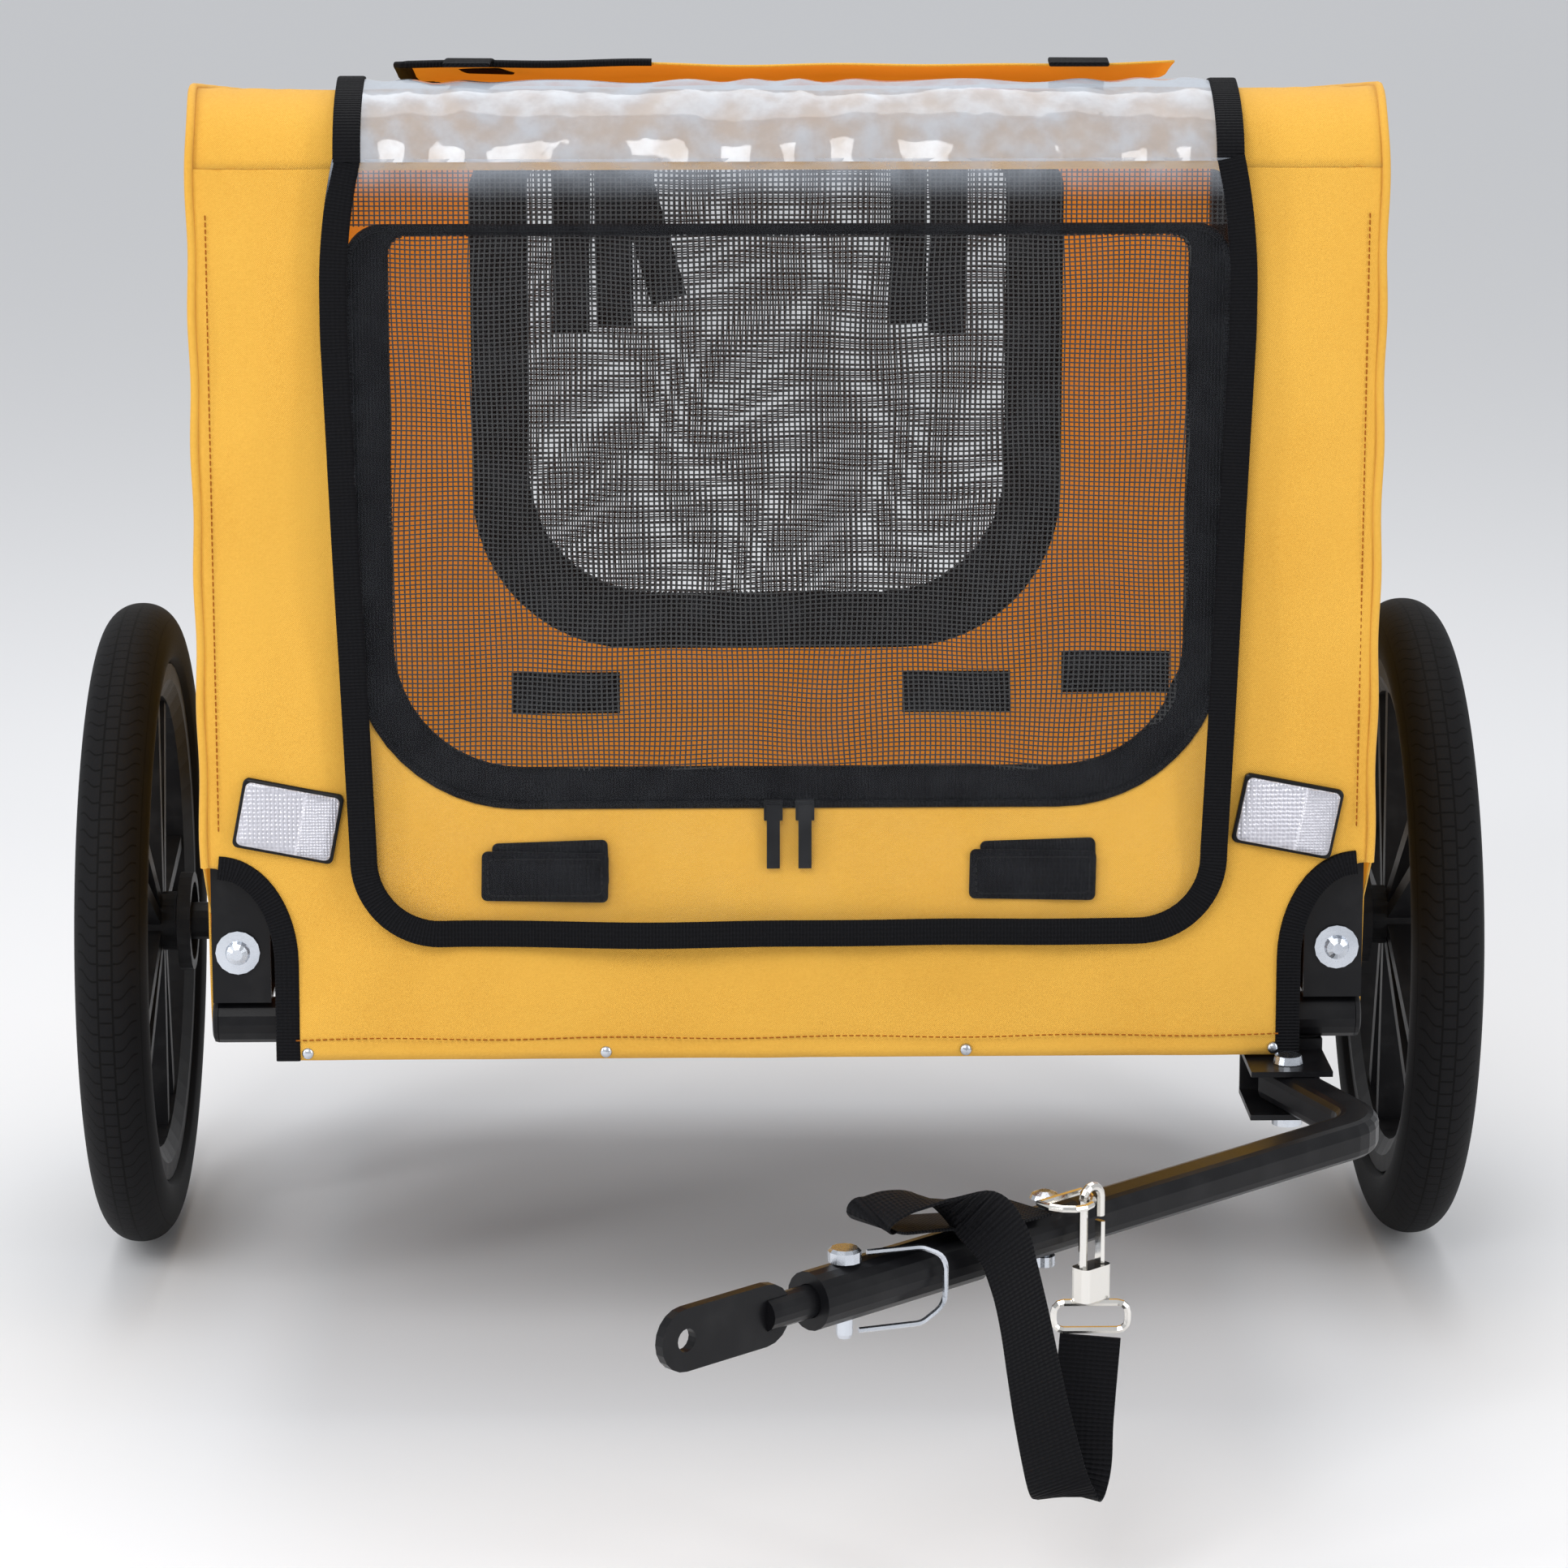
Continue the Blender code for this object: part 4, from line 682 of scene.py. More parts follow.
def stitches(
    name: str, path: Array, normal: Array, finish: Finish, pitch: float = 0.0036, size: float = 0.0004
) -> bpy.types.Object:
    """A row of thread dashes: each is a low six-sided block from one place on the path to the next hole.

    Args:
        name: The piece's name.
        path: The seam.
        normal: The way the cloth looks.
        finish: The thread.
        pitch: From one stitch to the next.
        size: Half the thread's width.

    Returns:
        One object of all the stitches.
    """
    along = lengths_of(path)
    starts = np.arange(pitch / 2, along[-1] - pitch, pitch)
    ends = np.stack([np.stack([np.interp(s, along, path[:, k]) for k in range(3)], -1)
                     for s in (starts, starts + 0.68 * pitch)])
    step = ends[1] - ends[0]
    step /= np.linalg.norm(step, axis=1, keepdims=True)
    normal = np.asarray(normal, float)
    side = np.cross(step, normal) * size
    lift = normal * size
    base = np.stack([ends[0] - side, ends[0] + side, ends[1] + side, ends[1] - side], 1)
    inward = step * size
    shift = np.stack([inward + side / 2, inward - side / 2, -inward - side / 2, -inward + side / 2], 1)
    block = np.concatenate([base, base + shift + lift * 1.6], 1)
    pattern = np.array([(3, 2, 1, 0), (4, 5, 6, 7), (0, 1, 5, 4), (1, 2, 6, 5), (2, 3, 7, 6), (3, 0, 4, 7)])
    faces = (np.arange(len(starts))[:, None, None] * 8 + pattern).reshape(-1, 4)
    mesh = bpy.data.meshes.new(name)
    mesh.from_pydata(block.reshape(-1, 3).tolist(), [], faces.tolist())
    mesh.materials.append(finish.material())
    layer = mesh.uv_layers.new(name="UVMap")
    layer.data.foreach_set("uv",
                           np.tile([0, 0, 0.002, 0, 0.002, 0.001, 0, 0.001], len(faces)).astype(np.float32))
    made = bpy.data.objects.new(name, mesh)
    bpy.context.scene.collection.objects.link(made)
    return made


def place_on(piece: bpy.types.Object, body: str, slot: str, *nodes: str) -> bpy.types.Object:
    """Rides a piece on its body, hides the nodes that it stands for, and reports it."""
    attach(piece, body)
    if nodes:
        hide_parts(*nodes)
    LOG.info("%s rides on %s", piece.name, body)
    return piece


def fold_down(piece: bpy.types.Object) -> bpy.types.Object:
    """Gives the piece its own copy of its mesh."""
    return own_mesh(piece)


def sew(piece: bpy.types.Object, slot: str, *nodes: str, body: str = "root") -> bpy.types.Object:
    """Places a piece that is sewn to the cabin's cloth, and gives it its own copy of its mesh."""
    return fold_down(place_on(piece, body, slot, *nodes))


def rail_z(y: Array) -> Array:
    """Height of the hoops' sloping top rail."""
    return RAIL_TOP - (y - FRONT_Y - RAIL_SETBACK) / RAIL_RUN * RAIL_FALL


def square_to(profile: Array) -> Array:
    """Unit vectors square to a profile at each point: its slope turned a quarter."""
    step = np.gradient(profile, axis=0)
    normal = np.stack([-step[:, 1], step[:, 0]], -1)
    return normal / np.linalg.norm(normal, axis=1, keepdims=True)


def roof_profile(lift: float = 0.0) -> Array:
    """The roof from the front panel over both bends to the rear panel, as (y, z), raised by lift."""
    front, rear = FRONT_Y - lift, REAR_Y + lift
    top_front, top_rear = (rail_z(end) + ROOF_OVER_RAIL + lift for end in (front, rear))
    bend, back = FRONT_BEND + lift, REAR_BEND + lift
    first = arc_points(front + bend, top_front - bend - 0.0016, bend, 180, 94.4, 14)
    second = arc_points(rear - back, top_rear - back + 0.001, back, 85.6, 0, 12)
    return np.concatenate([[(front, PANEL_TOP)], first, second, [(rear, REAR_TOP)]])


# --- The cabin's cover --------------------------------------------------------------------------
@dataclass
class CabinCover:
    """The sewn yellow cover: front, rear, sides and roof, its seams, edge tapes, hems and screws."""

    bottom: float = 0.2045
    side_bottom: float = 0.2125
    hem_half: float = 0.277
    cut_top: float = 0.3115
    cut_height: float = 0.053
    notch: float = 0.034
    cloth: float = 0.0012
    door: Array = field(default_factory=lambda: door_loop(DOOR_HALF, 0.344, PANEL_TOP - 0.0008, 0.088,
                                                          0.012))
    rear_door: Array = field(default_factory=lambda: door_loop(0.194, 0.314, 0.639, 0.105, 0.020))

    def end_outline(self, top: float) -> Array:
        """An end panel's outline, its lower corners cut in a quarter curve, counter-clockwise."""
        angle = np.radians(np.linspace(0, 90, 13))
        x = self.hem_half + (PANEL_HALF - self.hem_half) * (1 - np.cos(angle))
        z = self.cut_top - self.cut_height * (1 - np.sin(angle))
        right = np.concatenate([[(self.hem_half, self.bottom)], np.stack([x, z], -1), [(PANEL_HALF, top)]])
        return np.concatenate([right, right[::-1] * (-1, 1)])

    def side_band(self, x: Array) -> Array:
        """The bulge beside a door: a half wave from the door's edge to the corner, and nothing between."""
        share = np.clip((np.abs(x) - DOOR_HALF) / (PANEL_HALF - DOOR_HALF), 0, 1)
        return np.sin(math.pi * share) ** 0.7

    def end_panel(self, name: str, opening: Array, top: float, y: float, way: float, seed: int) -> None:
        """A panel round a door: a ring grid, bulged between its edges and waved by soft folds."""
        outline = self.end_outline(top)
        flat, share = ring_grid(opening, outline, np.array([0.0, 0.47]), 30)
        x, z = flat[..., 0], flat[..., 1]
        near_top = np.clip((z - top + 0.09) / 0.07, 0, 1)
        mask = np.sin(math.pi * np.clip(share, 0, 1)) ** 0.7 * (1 - near_top) + self.side_band(x) * near_top
        low = np.clip((0.34 - z) / 0.13, 0, 1)
        folds = 0.0026 * waves(x, z, seed, 0.26) + 0.0010 * waves(x, z * 0.5, seed + 5, 0.09)
        depth = mask * (0.0022 + folds * (1 - near_top)) + low * 0.0016 * waves(x, z * 0.4, seed + 1, 0.17)
        points = np.stack([x, y + way * np.maximum(depth, 0), z], -1)
        uv = closed_across(flat)
        panel = grid_object(name, points, uv, [Finish.CLOTH, Finish.BACKLIT_CLOTH], wrap_cols=True,
                            facing=way * ALONG)
        thicken(panel, self.cloth, backlit_inside=True)
        place_on(panel, "root", "yellow_fabric", name)
        fold_down(panel)

    def side_panel(self, side: Side) -> None:
        """A side: columns from the bottom edge to the roof line, bulged outwards in the middle."""
        profile = roof_profile()
        y = np.unique(np.concatenate([
            np.linspace(FRONT_Y, REAR_Y, 110), profile[:, 0],
            [FRONT_Y + self.notch - 0.0002, FRONT_Y + self.notch],
            [REAR_Y - self.notch, REAR_Y - self.notch + 0.0002],
        ]))
        order = np.argsort(profile[1:-1, 0])
        top = np.interp(y, profile[1:-1][order, 0], profile[1:-1][order, 1])
        edge = np.minimum(y - FRONT_Y, REAR_Y - y)
        low = np.where(edge < self.notch - 1e-5, self.cut_top - edge, self.side_bottom)
        share = np.linspace(0, 1, 60)[:, None]
        z = low + (top - low) * share
        across = np.broadcast_to(y, z.shape)
        mask = np.clip(edge / 0.06, 0, 1) * np.sin(math.pi * share) ** 0.6
        x = side.value * (HALF - 0.0015 + mask * (0.0035 + 0.0026 * waves(across, z, 5 + side.value, 0.3)))
        name = f"cover_side_{side.word}"
        panel = grid_object(
            name, np.stack([x, across, z], -1), np.stack([across, z], -1), [Finish.CLOTH, Finish.BACKLIT_CLOTH],
            facing=np.array([side.value, 0, 0]),
        )
        thicken(panel, self.cloth, backlit_inside=True)
        place_on(panel, "root", "yellow_fabric", name)
        fold_down(panel)

    def roof(self) -> None:
        """The roof: its profile carried across, sagging between the hoops, with puckers at its seams."""
        profile = resample(roof_profile(), 120)
        x = np.linspace(-PANEL_HALF, PANEL_HALF, 90)
        normal = square_to(profile)
        share = np.linspace(0, 1, len(profile))
        mask = np.sin(math.pi * share)[:, None] ** 0.5 * np.cos(math.pi * x / 2 / PANEL_HALF)[None] ** 0.5
        along = lengths_of(profile)
        grid_x, grid_s = np.meshgrid(x, along)
        puckers = 0.0007 * np.sin(grid_x * 330) * np.clip(np.abs(grid_x) / PANEL_HALF - 0.8, 0, 1) * 5
        depth = mask * (-0.0030 + 0.0022 * waves(grid_x, grid_s, 12, 0.22)) + puckers
        front_fade = np.cos(np.clip(grid_s / 0.06, 0, 1) * math.pi / 2) ** 2
        depth = depth + 0.0022 * self.side_band(grid_x) * front_fade
        points = np.stack([
            grid_x, profile[:, :1] + normal[:, :1] * depth, profile[:, 1:] + normal[:, 1:] * depth
        ], -1)
        panel = grid_object(
            "cover_roof", points, np.stack([grid_x, grid_s], -1), [Finish.CLOTH, Finish.BACKLIT_CLOTH], facing=UP
        )
        thicken(panel, self.cloth, backlit_inside=True)
        place_on(panel, "root", "yellow_fabric", "cover_roof")
        fold_down(panel)

    def seams(self) -> None:
        """Corner seams, dark tapes on the cut corners, hem stitching, and the screws through the hem."""
        profile = roof_profile()
        for side in Side:
            x = side.value * (HALF - 0.0026)
            ends = [[(FRONT_Y, self.cut_top)], profile, [(REAR_Y, self.cut_top)]]
            line = resample(np.concatenate(ends), 260)
            path = np.stack([np.full(len(line), x), line[:, 0], line[:, 1]], -1)
            path[:, 0] += side.value * 0.0005 * np.sin(lengths_of(line) * 90)
            piping = swept(f"corner_seam_{side.word}", path, ring_section(0.0023, 8), (1, 0, 0),
                           Finish.CLOTH)
            sew(piping, "yellow_fabric")
            run = np.stack([np.full(120, side.value * 0.3055), np.full(120, FRONT_Y - 0.0016),
                            np.linspace(0.33, 0.664, 120)], -1)
            sew(stitches(f"corner_stitching_{side.word}", run, -ALONG, Finish.THREAD), "yellow_fabric")
            for end, y, way in (("front", FRONT_Y, -1), ("rear", REAR_Y, 1)):
                outline = self.end_outline(0.672)[:14] * (side.value, 1)
                tape = resample(outline - np.array([side.value * 0.0065, 0]), 40)
                path = upright_path(tape, y + way * 0.0006)
                piece = swept(
                    f"corner_tape_{end}_{side.word}", path, rounded_section(0.0034, 0.013, 0.0012), ALONG,
                    Finish.EDGE,
                )
                sew(piece, "black_webbing")
        for end, y, way in (("front", FRONT_Y, -1), ("rear", REAR_Y, 1)):
            x = np.linspace(-0.268, 0.268, 90)
            hem = np.stack([x, np.full(90, y + way * 0.0026), 0.2165 + 0.0006 * np.sin(x * 50)], -1)
            sew(stitches(f"hem_stitching_{end}", hem, way * ALONG, Finish.THREAD), "yellow_fabric")
        for number, x in enumerate((-0.260, -0.099, 0.096, 0.263)):
            self.screw(f"hem_screw_{number}", np.array([x, FRONT_Y - 0.0006, 0.2085]))

    def screw(self, name: str, place: Array) -> None:
        """A small domed screw: a quarter-circle profile turned about the y axis."""
        angle = np.linspace(0, math.pi / 2, 6)
        radius, height = 0.0034 * np.sin(angle[::-1]), 0.0022 * np.cos(angle[::-1])
        radius = np.maximum(radius, 1e-5)
        turn = np.arange(16) * math.pi / 8
        points = np.stack([
            place[0] + radius[:, None] * np.cos(turn), place[1] - height[:, None] + 0 * turn,
            place[2] + radius[:, None] * np.sin(turn),
        ], -1)
        uv = np.zeros((6, 17, 2))
        piece = grid_object(name, points, uv, [Finish.ZINC], wrap_cols=True, caps=True)
        sew(piece, "zinc")

    def roof_flap(self) -> None:
        """A loose bound flap rolled over the roof, with two webbing ties lying on it."""
        profile = resample(roof_profile(0.0035), 140)
        keep = profile[(profile[:, 0] > FRONT_Y + 0.060) & (profile[:, 1] > 0.60)]
        keep = keep[keep[:, 0] < FRONT_Y + 0.49]
        x = np.linspace(-0.205, 0.208, 60)
        grid_x, grid_y = np.meshgrid(x, keep[:, 0])
        front = np.clip(1 - (grid_y - FRONT_Y - 0.060) / 0.05, 0, 1)
        z = keep[:, 1:] + 0.0035 + 0.0055 * front + 0.0018 * waves(grid_x, grid_y, 31, 0.2)
        flap = grid_object(
            "roof_flap", np.stack([grid_x, grid_y, z], -1), np.stack([grid_x, grid_y], -1),
            [Finish.CLOTH, Finish.BACKLIT_CLOTH], facing=UP,
        )
        thicken(flap, self.cloth, backlit_inside=True)
        place_on(flap, "root", "yellow_fabric")
        fold_down(flap)
        edge = np.concatenate([
            np.stack([grid_x[::-1, 0], grid_y[::-1, 0], z[::-1, 0]], -1),
            np.stack([grid_x[0], grid_y[0], z[0]], -1)[1:20],
        ])
        tape = swept("roof_flap_tape", resample(edge, 260), rounded_section(0.0036, 0.010, 0.0014), UP,
                     Finish.EDGE)
        sew(tape, "black_webbing")
        for name, place, width, reach in (("left", 0.155, 0.032, 0.075), ("right", -0.170, 0.025, 0.060)):
            y = np.linspace(FRONT_Y + 0.040, FRONT_Y + 0.040 + reach, 24)
            height = rail_z(y) + 0.0265 + 0.003 * np.sin(np.linspace(0, 5, 24))
            path = np.stack([np.full(24, place) + 0.012 * np.linspace(0, 1, 24) ** 2, y, height], -1)
            tie = swept(f"roof_tie_{name}", path, rounded_section(0.0022, width, 0.0009), UP, Finish.STRAP)
            sew(tie, "black_webbing")

    def build(self) -> None:
        """Makes the whole cover."""
        self.end_panel("cover_front", self.door, PANEL_TOP, FRONT_Y, -1, 3)
        self.end_panel("cover_rear", self.rear_door, REAR_TOP, REAR_Y, 1, 8)
        for side in Side:
            self.side_panel(side)
        self.roof()
        self.seams()
        self.roof_flap()


# --- Doors --------------------------------------------------------------------------------------
@dataclass
class NetDoor:
    """A netting door in a wide black cloth border, with a zip coil round its edge."""

    node: str
    body: str
    half: float
    bottom: float
    top: float
    corner: float
    border: float
    plane: float
    way: int
    net: Finish
    seed: int

    def build(self) -> None:
        """The net as a fan of rings, its border, its zip coil and its stitching."""
        outer = door_loop(self.half, self.bottom, self.top, self.corner, 0.018)
        inner = door_loop(
            self.half - self.border, self.bottom + self.border, self.top - 0.004, self.corner * 0.78, 0.010
        )
        centre = np.array([0.0, (self.bottom + self.top) / 2])
        core = centre + (inner - centre) * 0.004
        flat, share = ring_grid(core, inner + (inner - centre) * 0.02, centre, 40)
        x, z = flat[..., 0], flat[..., 1]
        sag = (1 - share**2) * (0.002 + 0.0022 * waves(x, z, self.seed, 0.18))
        points = np.stack([x, self.plane - self.way * np.abs(sag), z], -1)
        drift = 0.0016 * waves(closed_across(x), closed_across(z), self.seed + 2, 0.16)
        uv = closed_across(flat) + drift[..., None]
        net = grid_object(f"{self.node}_net", points, uv, [self.net], wrap_cols=True,
                          facing=self.way * ALONG)
        place_on(net, self.body, "black_mesh", self.node)
        fold_down(net)
        flat, share = ring_grid(inner, outer, centre, 12)
        x, z = flat[..., 0], flat[..., 1]
        lift = 0.0010 * np.sin(math.pi * share) + 0.0006 * waves(x, z, self.seed + 4, 0.09)
        points = np.stack([x, self.plane + self.way * lift, z], -1)
        uv = closed_across(flat)
        border = grid_object(f"{self.node}_border", points, uv, [Finish.EDGE], wrap_cols=True,
                             facing=self.way * ALONG)
        thicken(border, 0.0014)
        sew(border, "black_webbing", body=self.body)
        coil = upright_path(resample(np.concatenate([outer, outer[:1]]), 420)[:-1],
                            self.plane + self.way * 0.0006)
        zip_coil = swept(f"{self.node}_zip_coil", coil, ring_section(0.0021, 8), ALONG, Finish.EDGE,
                         wrap=True)
        sew(zip_coil, "black_webbing", body=self.body)
        seam = upright_path(resample(np.concatenate([inner, inner[:1]]), 400),
                            self.plane + self.way * 0.0020)
        dashes = stitches(f"{self.node}_stitching", seam, self.way * ALONG, Finish.DARK_THREAD)
        sew(dashes, "black_webbing", body=self.body)


# --- Rain flap ----------------------------------------------------------------------------------
@dataclass
class RainFlap:
    """The clear flap in its black tape, and the creased part of it that lies over the roof's front bend."""

    half: float = 0.246
    bottom: float = 0.269
    top: float = 0.692
    corner: float = 0.048
    plane: float = FRONT_Y - 0.0105
    tape: float = 0.0145
    taper: float = 0.011

    def half_at(self, z: Array) -> Array:
        """Half the flap's width at each height: round at the bottom, drawn in a little at the top."""
        drop = np.clip(self.corner - (z - self.bottom), 0, self.corner)
        rounded = self.half - self.corner + np.sqrt(np.maximum(self.corner**2 - drop**2, 0))
        above, below = np.clip((z - 0.62) / 0.08, 0, 1), np.clip((0.60 - z) / 0.28, 0, 1)
        drawn_in = 0.010 * above**2 + self.taper * below
        return rounded - drawn_in

    def depth_at(self, x: Array, z: Array) -> Array:
        """How far the film stands from its plane: long soft waves, and short pleats near the top."""
        low = np.clip((0.36 - z) / 0.09, 0, 1)
        pleats = np.clip((z - 0.625) / 0.05, 0, 1)
        soft = 0.0022 * waves(x, z, 44, 0.30) + 0.0014 * waves(x * 1.8, z, 45, 0.20)
        edge = np.exp(-(((self.half_at(z) - np.abs(x) - 0.020) / 0.010) ** 2))
        patchy = np.clip(waves(x * 0.2, z, 47, 0.10), 0, 1)
        ripple = 0.0024 * edge * patchy * np.sin(z * 140 + 2.5 * np.sin(z * 37) + np.sign(x))
        hem = 0.0022 * low * np.sin(x * 26)
        return soft + ripple + hem + 0.0013 * pleats * np.sin(x * 150 + 3 * np.sin(x * 31))

    def film(self) -> None:
        """The film: at each height a row across the flap's width there."""
        z = np.linspace(self.bottom, self.top, 110)[:, None]
        x = self.half_at(z) * np.linspace(-1, 1, 120)[None]
        grid_z = np.broadcast_to(z, x.shape)
        points = np.stack([x, self.plane + self.depth_at(x, grid_z), grid_z], -1)
        sheet = grid_object("rain_flap_film", points, np.stack([x, grid_z], -1), [Finish.FILM],
                            facing=-ALONG)
        place_on(sheet, "front_flap", "clear_film", "rain_flap")
        fold_down(sheet)

    def edge_tape(self) -> None:
        """The tape round the sides and bottom, folded over the film's edge."""
        inset = self.tape / 2
        half, low, radius = self.half - inset, self.bottom + inset, self.corner - inset
        z = np.linspace(self.top, low + radius + 0.002, 60)
        narrow = self.half_at(z) - inset
        flat = np.concatenate([
            np.stack([-narrow, z], -1),
            arc_points(radius - half + self.taper, low + radius, radius, 180, 270, 18),
            arc_points(half - radius - self.taper, low + radius, radius, -90, 0, 18),
            np.stack([narrow, z], -1)[::-1],
        ])
        line = resample(flat, 300)
        path = np.stack([line[:, 0], self.plane + self.depth_at(line[:, 0], line[:, 1]), line[:, 1]], -1)
        tape = swept("rain_flap_tape", path, rounded_section(0.0030, self.tape, 0.0012), ALONG, Finish.EDGE)
        sew(tape, "black_webbing", body="front_flap")

    def roof_part(self) -> None:
        """The film's upper end: the roof's profile raised a little, with pleats that fan over the bend."""
        profile = resample(roof_profile(0.0030), 200)
        keep = profile[(profile[:, 1] > 0.689) & (profile[:, 0] < FRONT_Y + 0.052)]
        x = np.linspace(-0.2306, 0.2306, 110)
        normal = square_to(keep)
        along = lengths_of(keep)
        grid_x, grid_s = np.meshgrid(x, along)
        pleats = 0.0008 * np.sin(grid_x * 150 + 3 * np.sin(grid_x * 31)) + 0.0011 * waves(grid_x, grid_s,
                                                                                          52, 0.12)
        depth = pleats + 0.0075 * np.clip(1 - grid_s / 0.05, 0, 1)
        back = 0.004 * waves(grid_x, grid_x, 60, 0.2) * grid_s / along[-1]
        points = np.stack([
            grid_x, keep[:, :1] + normal[:, :1] * depth + back, keep[:, 1:] + normal[:, 1:] * depth
        ], -1)
        uv = np.stack([grid_x, grid_s], -1)
        sheet = grid_object("roof_film", points, uv, [Finish.ROOF_FILM], facing=UP)
        place_on(sheet, "root", "clear_film")
        fold_down(sheet)
        for side, column in ((Side.RIGHT, 0), (Side.LEFT, -1)):
            path = points[:, column]
            tape = swept(f"roof_film_tape_{side.word}", path, rounded_section(self.tape, 0.0030, 0.0012),
                         (1, 0, 0),
                         Finish.EDGE)
            sew(tape, "black_webbing")

    def build(self) -> None:
        """Makes the flap."""
        self.film()
        self.edge_tape()
        self.roof_part()


# --- Trim on the front panel --------------------------------------------------------------------
@dataclass
class FrontTrim:
    """Reflectors and hook-and-loop tabs sewn to the front panel."""

    tilt: float = math.radians(11)
    reflector_z: float = 0.338
    tab_z: float = 0.3065

    def patch(
        self, name: str, centre: tuple[float, float], size: tuple[float, float], turn: float, y: float,
        depth: float, crown: float, finish: Finish,
    ) -> bpy.types.Object:
        """A crowned plate: shrinking rounded rectangles, each further forward by its share of the crown."""
        share = np.array([0.0, 0.0, 0.25, 0.5, 0.75, 1.0])
        shrink = np.array([1.0, 1.0, 0.97, 0.80, 0.45, 0.02])
        forward = np.array([0.0, depth * 0.8, depth, depth, depth, depth]) + crown * share
        section = rounded_section(size[0], size[1], 0.0032, 5)
        spin = np.array([[math.cos(turn), -math.sin(turn)], [math.sin(turn), math.cos(turn)]])
        flat = np.array(centre) + shrink[:, None, None] * section[None] @ spin
        points = np.stack([flat[..., 0], y - forward[:, None] + 0 * flat[..., 0], flat[..., 1]], -1)
        spread = shrink[:, None, None] * section[None] / np.array(size) + 0.5
        uv = closed_across(spread)
        if finish in (Finish.STRAP, Finish.EDGE):
            uv = uv * np.array(size)
        return grid_object(name, points, uv, [finish], wrap_cols=True, caps=True)

    def build(self) -> None:
        """Two reflectors, and two tabs each of two crossed strips with a stitched border."""
        for side in Side:
            centre = (side.value * 0.268, self.reflector_z)
            rim = self.patch(f"reflector_rim_{side.word}", centre, (0.0545, 0.0385), self.tilt,
                             FRONT_Y - 0.0022,
                             0.0034, 0.0, Finish.GLOSS)
            sew(rim, "black_plastic")
            lens = self.patch(f"reflector_lens_{side.word}", centre, (0.0510, 0.0350), self.tilt,
                              FRONT_Y - 0.0040,
                              0.0028, 0.0008, Finish.LENS)
            sew(lens, "reflector_plastic", f"reflector_{side.word}")
            x = side.value * 0.131
            back = self.patch(f"flap_tab_under_{side.word}", (x + 0.003, self.tab_z + 0.006),
                              (0.062, 0.026), -0.03,
                              FRONT_Y - 0.0018, 0.0016, 0.0, Finish.EDGE)
            sew(back, "black_webbing")
            top = self.patch(f"flap_tab_over_{side.word}", (x, self.tab_z), (0.068, 0.027), 0.02,
                             FRONT_Y - 0.0036, 0.0018, 0.0006, Finish.STRAP)
            sew(top, "black_webbing", f"flap_tab_{side.word}")
            loop = np.array([x, self.tab_z]) + rounded_section(0.061, 0.020, 0.002, 2)
            path = upright_path(resample(np.concatenate([loop, loop[:1]]), 80), FRONT_Y - 0.0058)
            dashes = stitches(f"flap_tab_stitching_{side.word}", path, -ALONG, Finish.DARK_THREAD)
            sew(dashes, "black_webbing")


# --- Inside the cabin ---------------------------------------------------------------------------
@dataclass
class Interior:
    """Ties that hang from the rear edge of the roof, dark patches that stand in as painted shadows of the
    rear panel's outer tabs and reflector, and the net above the front door.
    """

    rear: float = REAR_Y - 0.012

    def build(self) -> None:
        """Makes what shows through the netting."""
        for number, (x, low, lean) in enumerate((
            (-0.128, 0.527, 0.0), (-0.101, 0.531, 0.002), (-0.094, 0.548, 0.030), (0.092, 0.532, 0.0),
            (0.119, 0.525, -0.002),
        )):
            z = np.linspace(REAR_TOP, low, 20)
            sway = 0.003 * np.sin(np.linspace(0, 4, 20) + number)
            path = np.stack([x + lean * np.linspace(0, 1, 20), self.rear - 0.004 + sway, z], -1)
            tie = swept(f"hanging_tie_{number}", path, rounded_section(0.0018, 0.024, 0.0008), ALONG,
                        Finish.STRAP)
            sew(tie, "black_webbing")
        # painted shadow: three dark strap patches on the rear panel's inner face stand in for the blurred
        # shadows of two hook-and-loop tabs and a reflector on the outside, seen through the cloth
        for number, (x, z) in enumerate(((-0.134, 0.284), (0.126, 0.284), (0.232, 0.297))):
            path = np.stack([np.linspace(x - 0.036, x + 0.036,
                                         12), np.full(12, REAR_Y - 0.0045), np.full(12, z)], -1)
            shadow_patch = swept(f"rear_patch_{number}", path, rounded_section(0.0020, 0.028, 0.0009), ALONG,
                        Finish.STRAP)
            sew(shadow_patch, "black_webbing")
        x, z = np.meshgrid(np.linspace(-0.2312, 0.2312, 40), np.linspace(0.6556, PANEL_TOP, 8))
        points = np.stack([x, FRONT_Y + 0.0010 + 0.0004 * np.sin(x * 60), z], -1)
        header = grid_object("door_header_net", points, np.stack([x, z], -1), [Finish.FRONT_NET],
                             facing=-ALONG)
        place_on(header, "root", "black_mesh")
        fold_down(header)


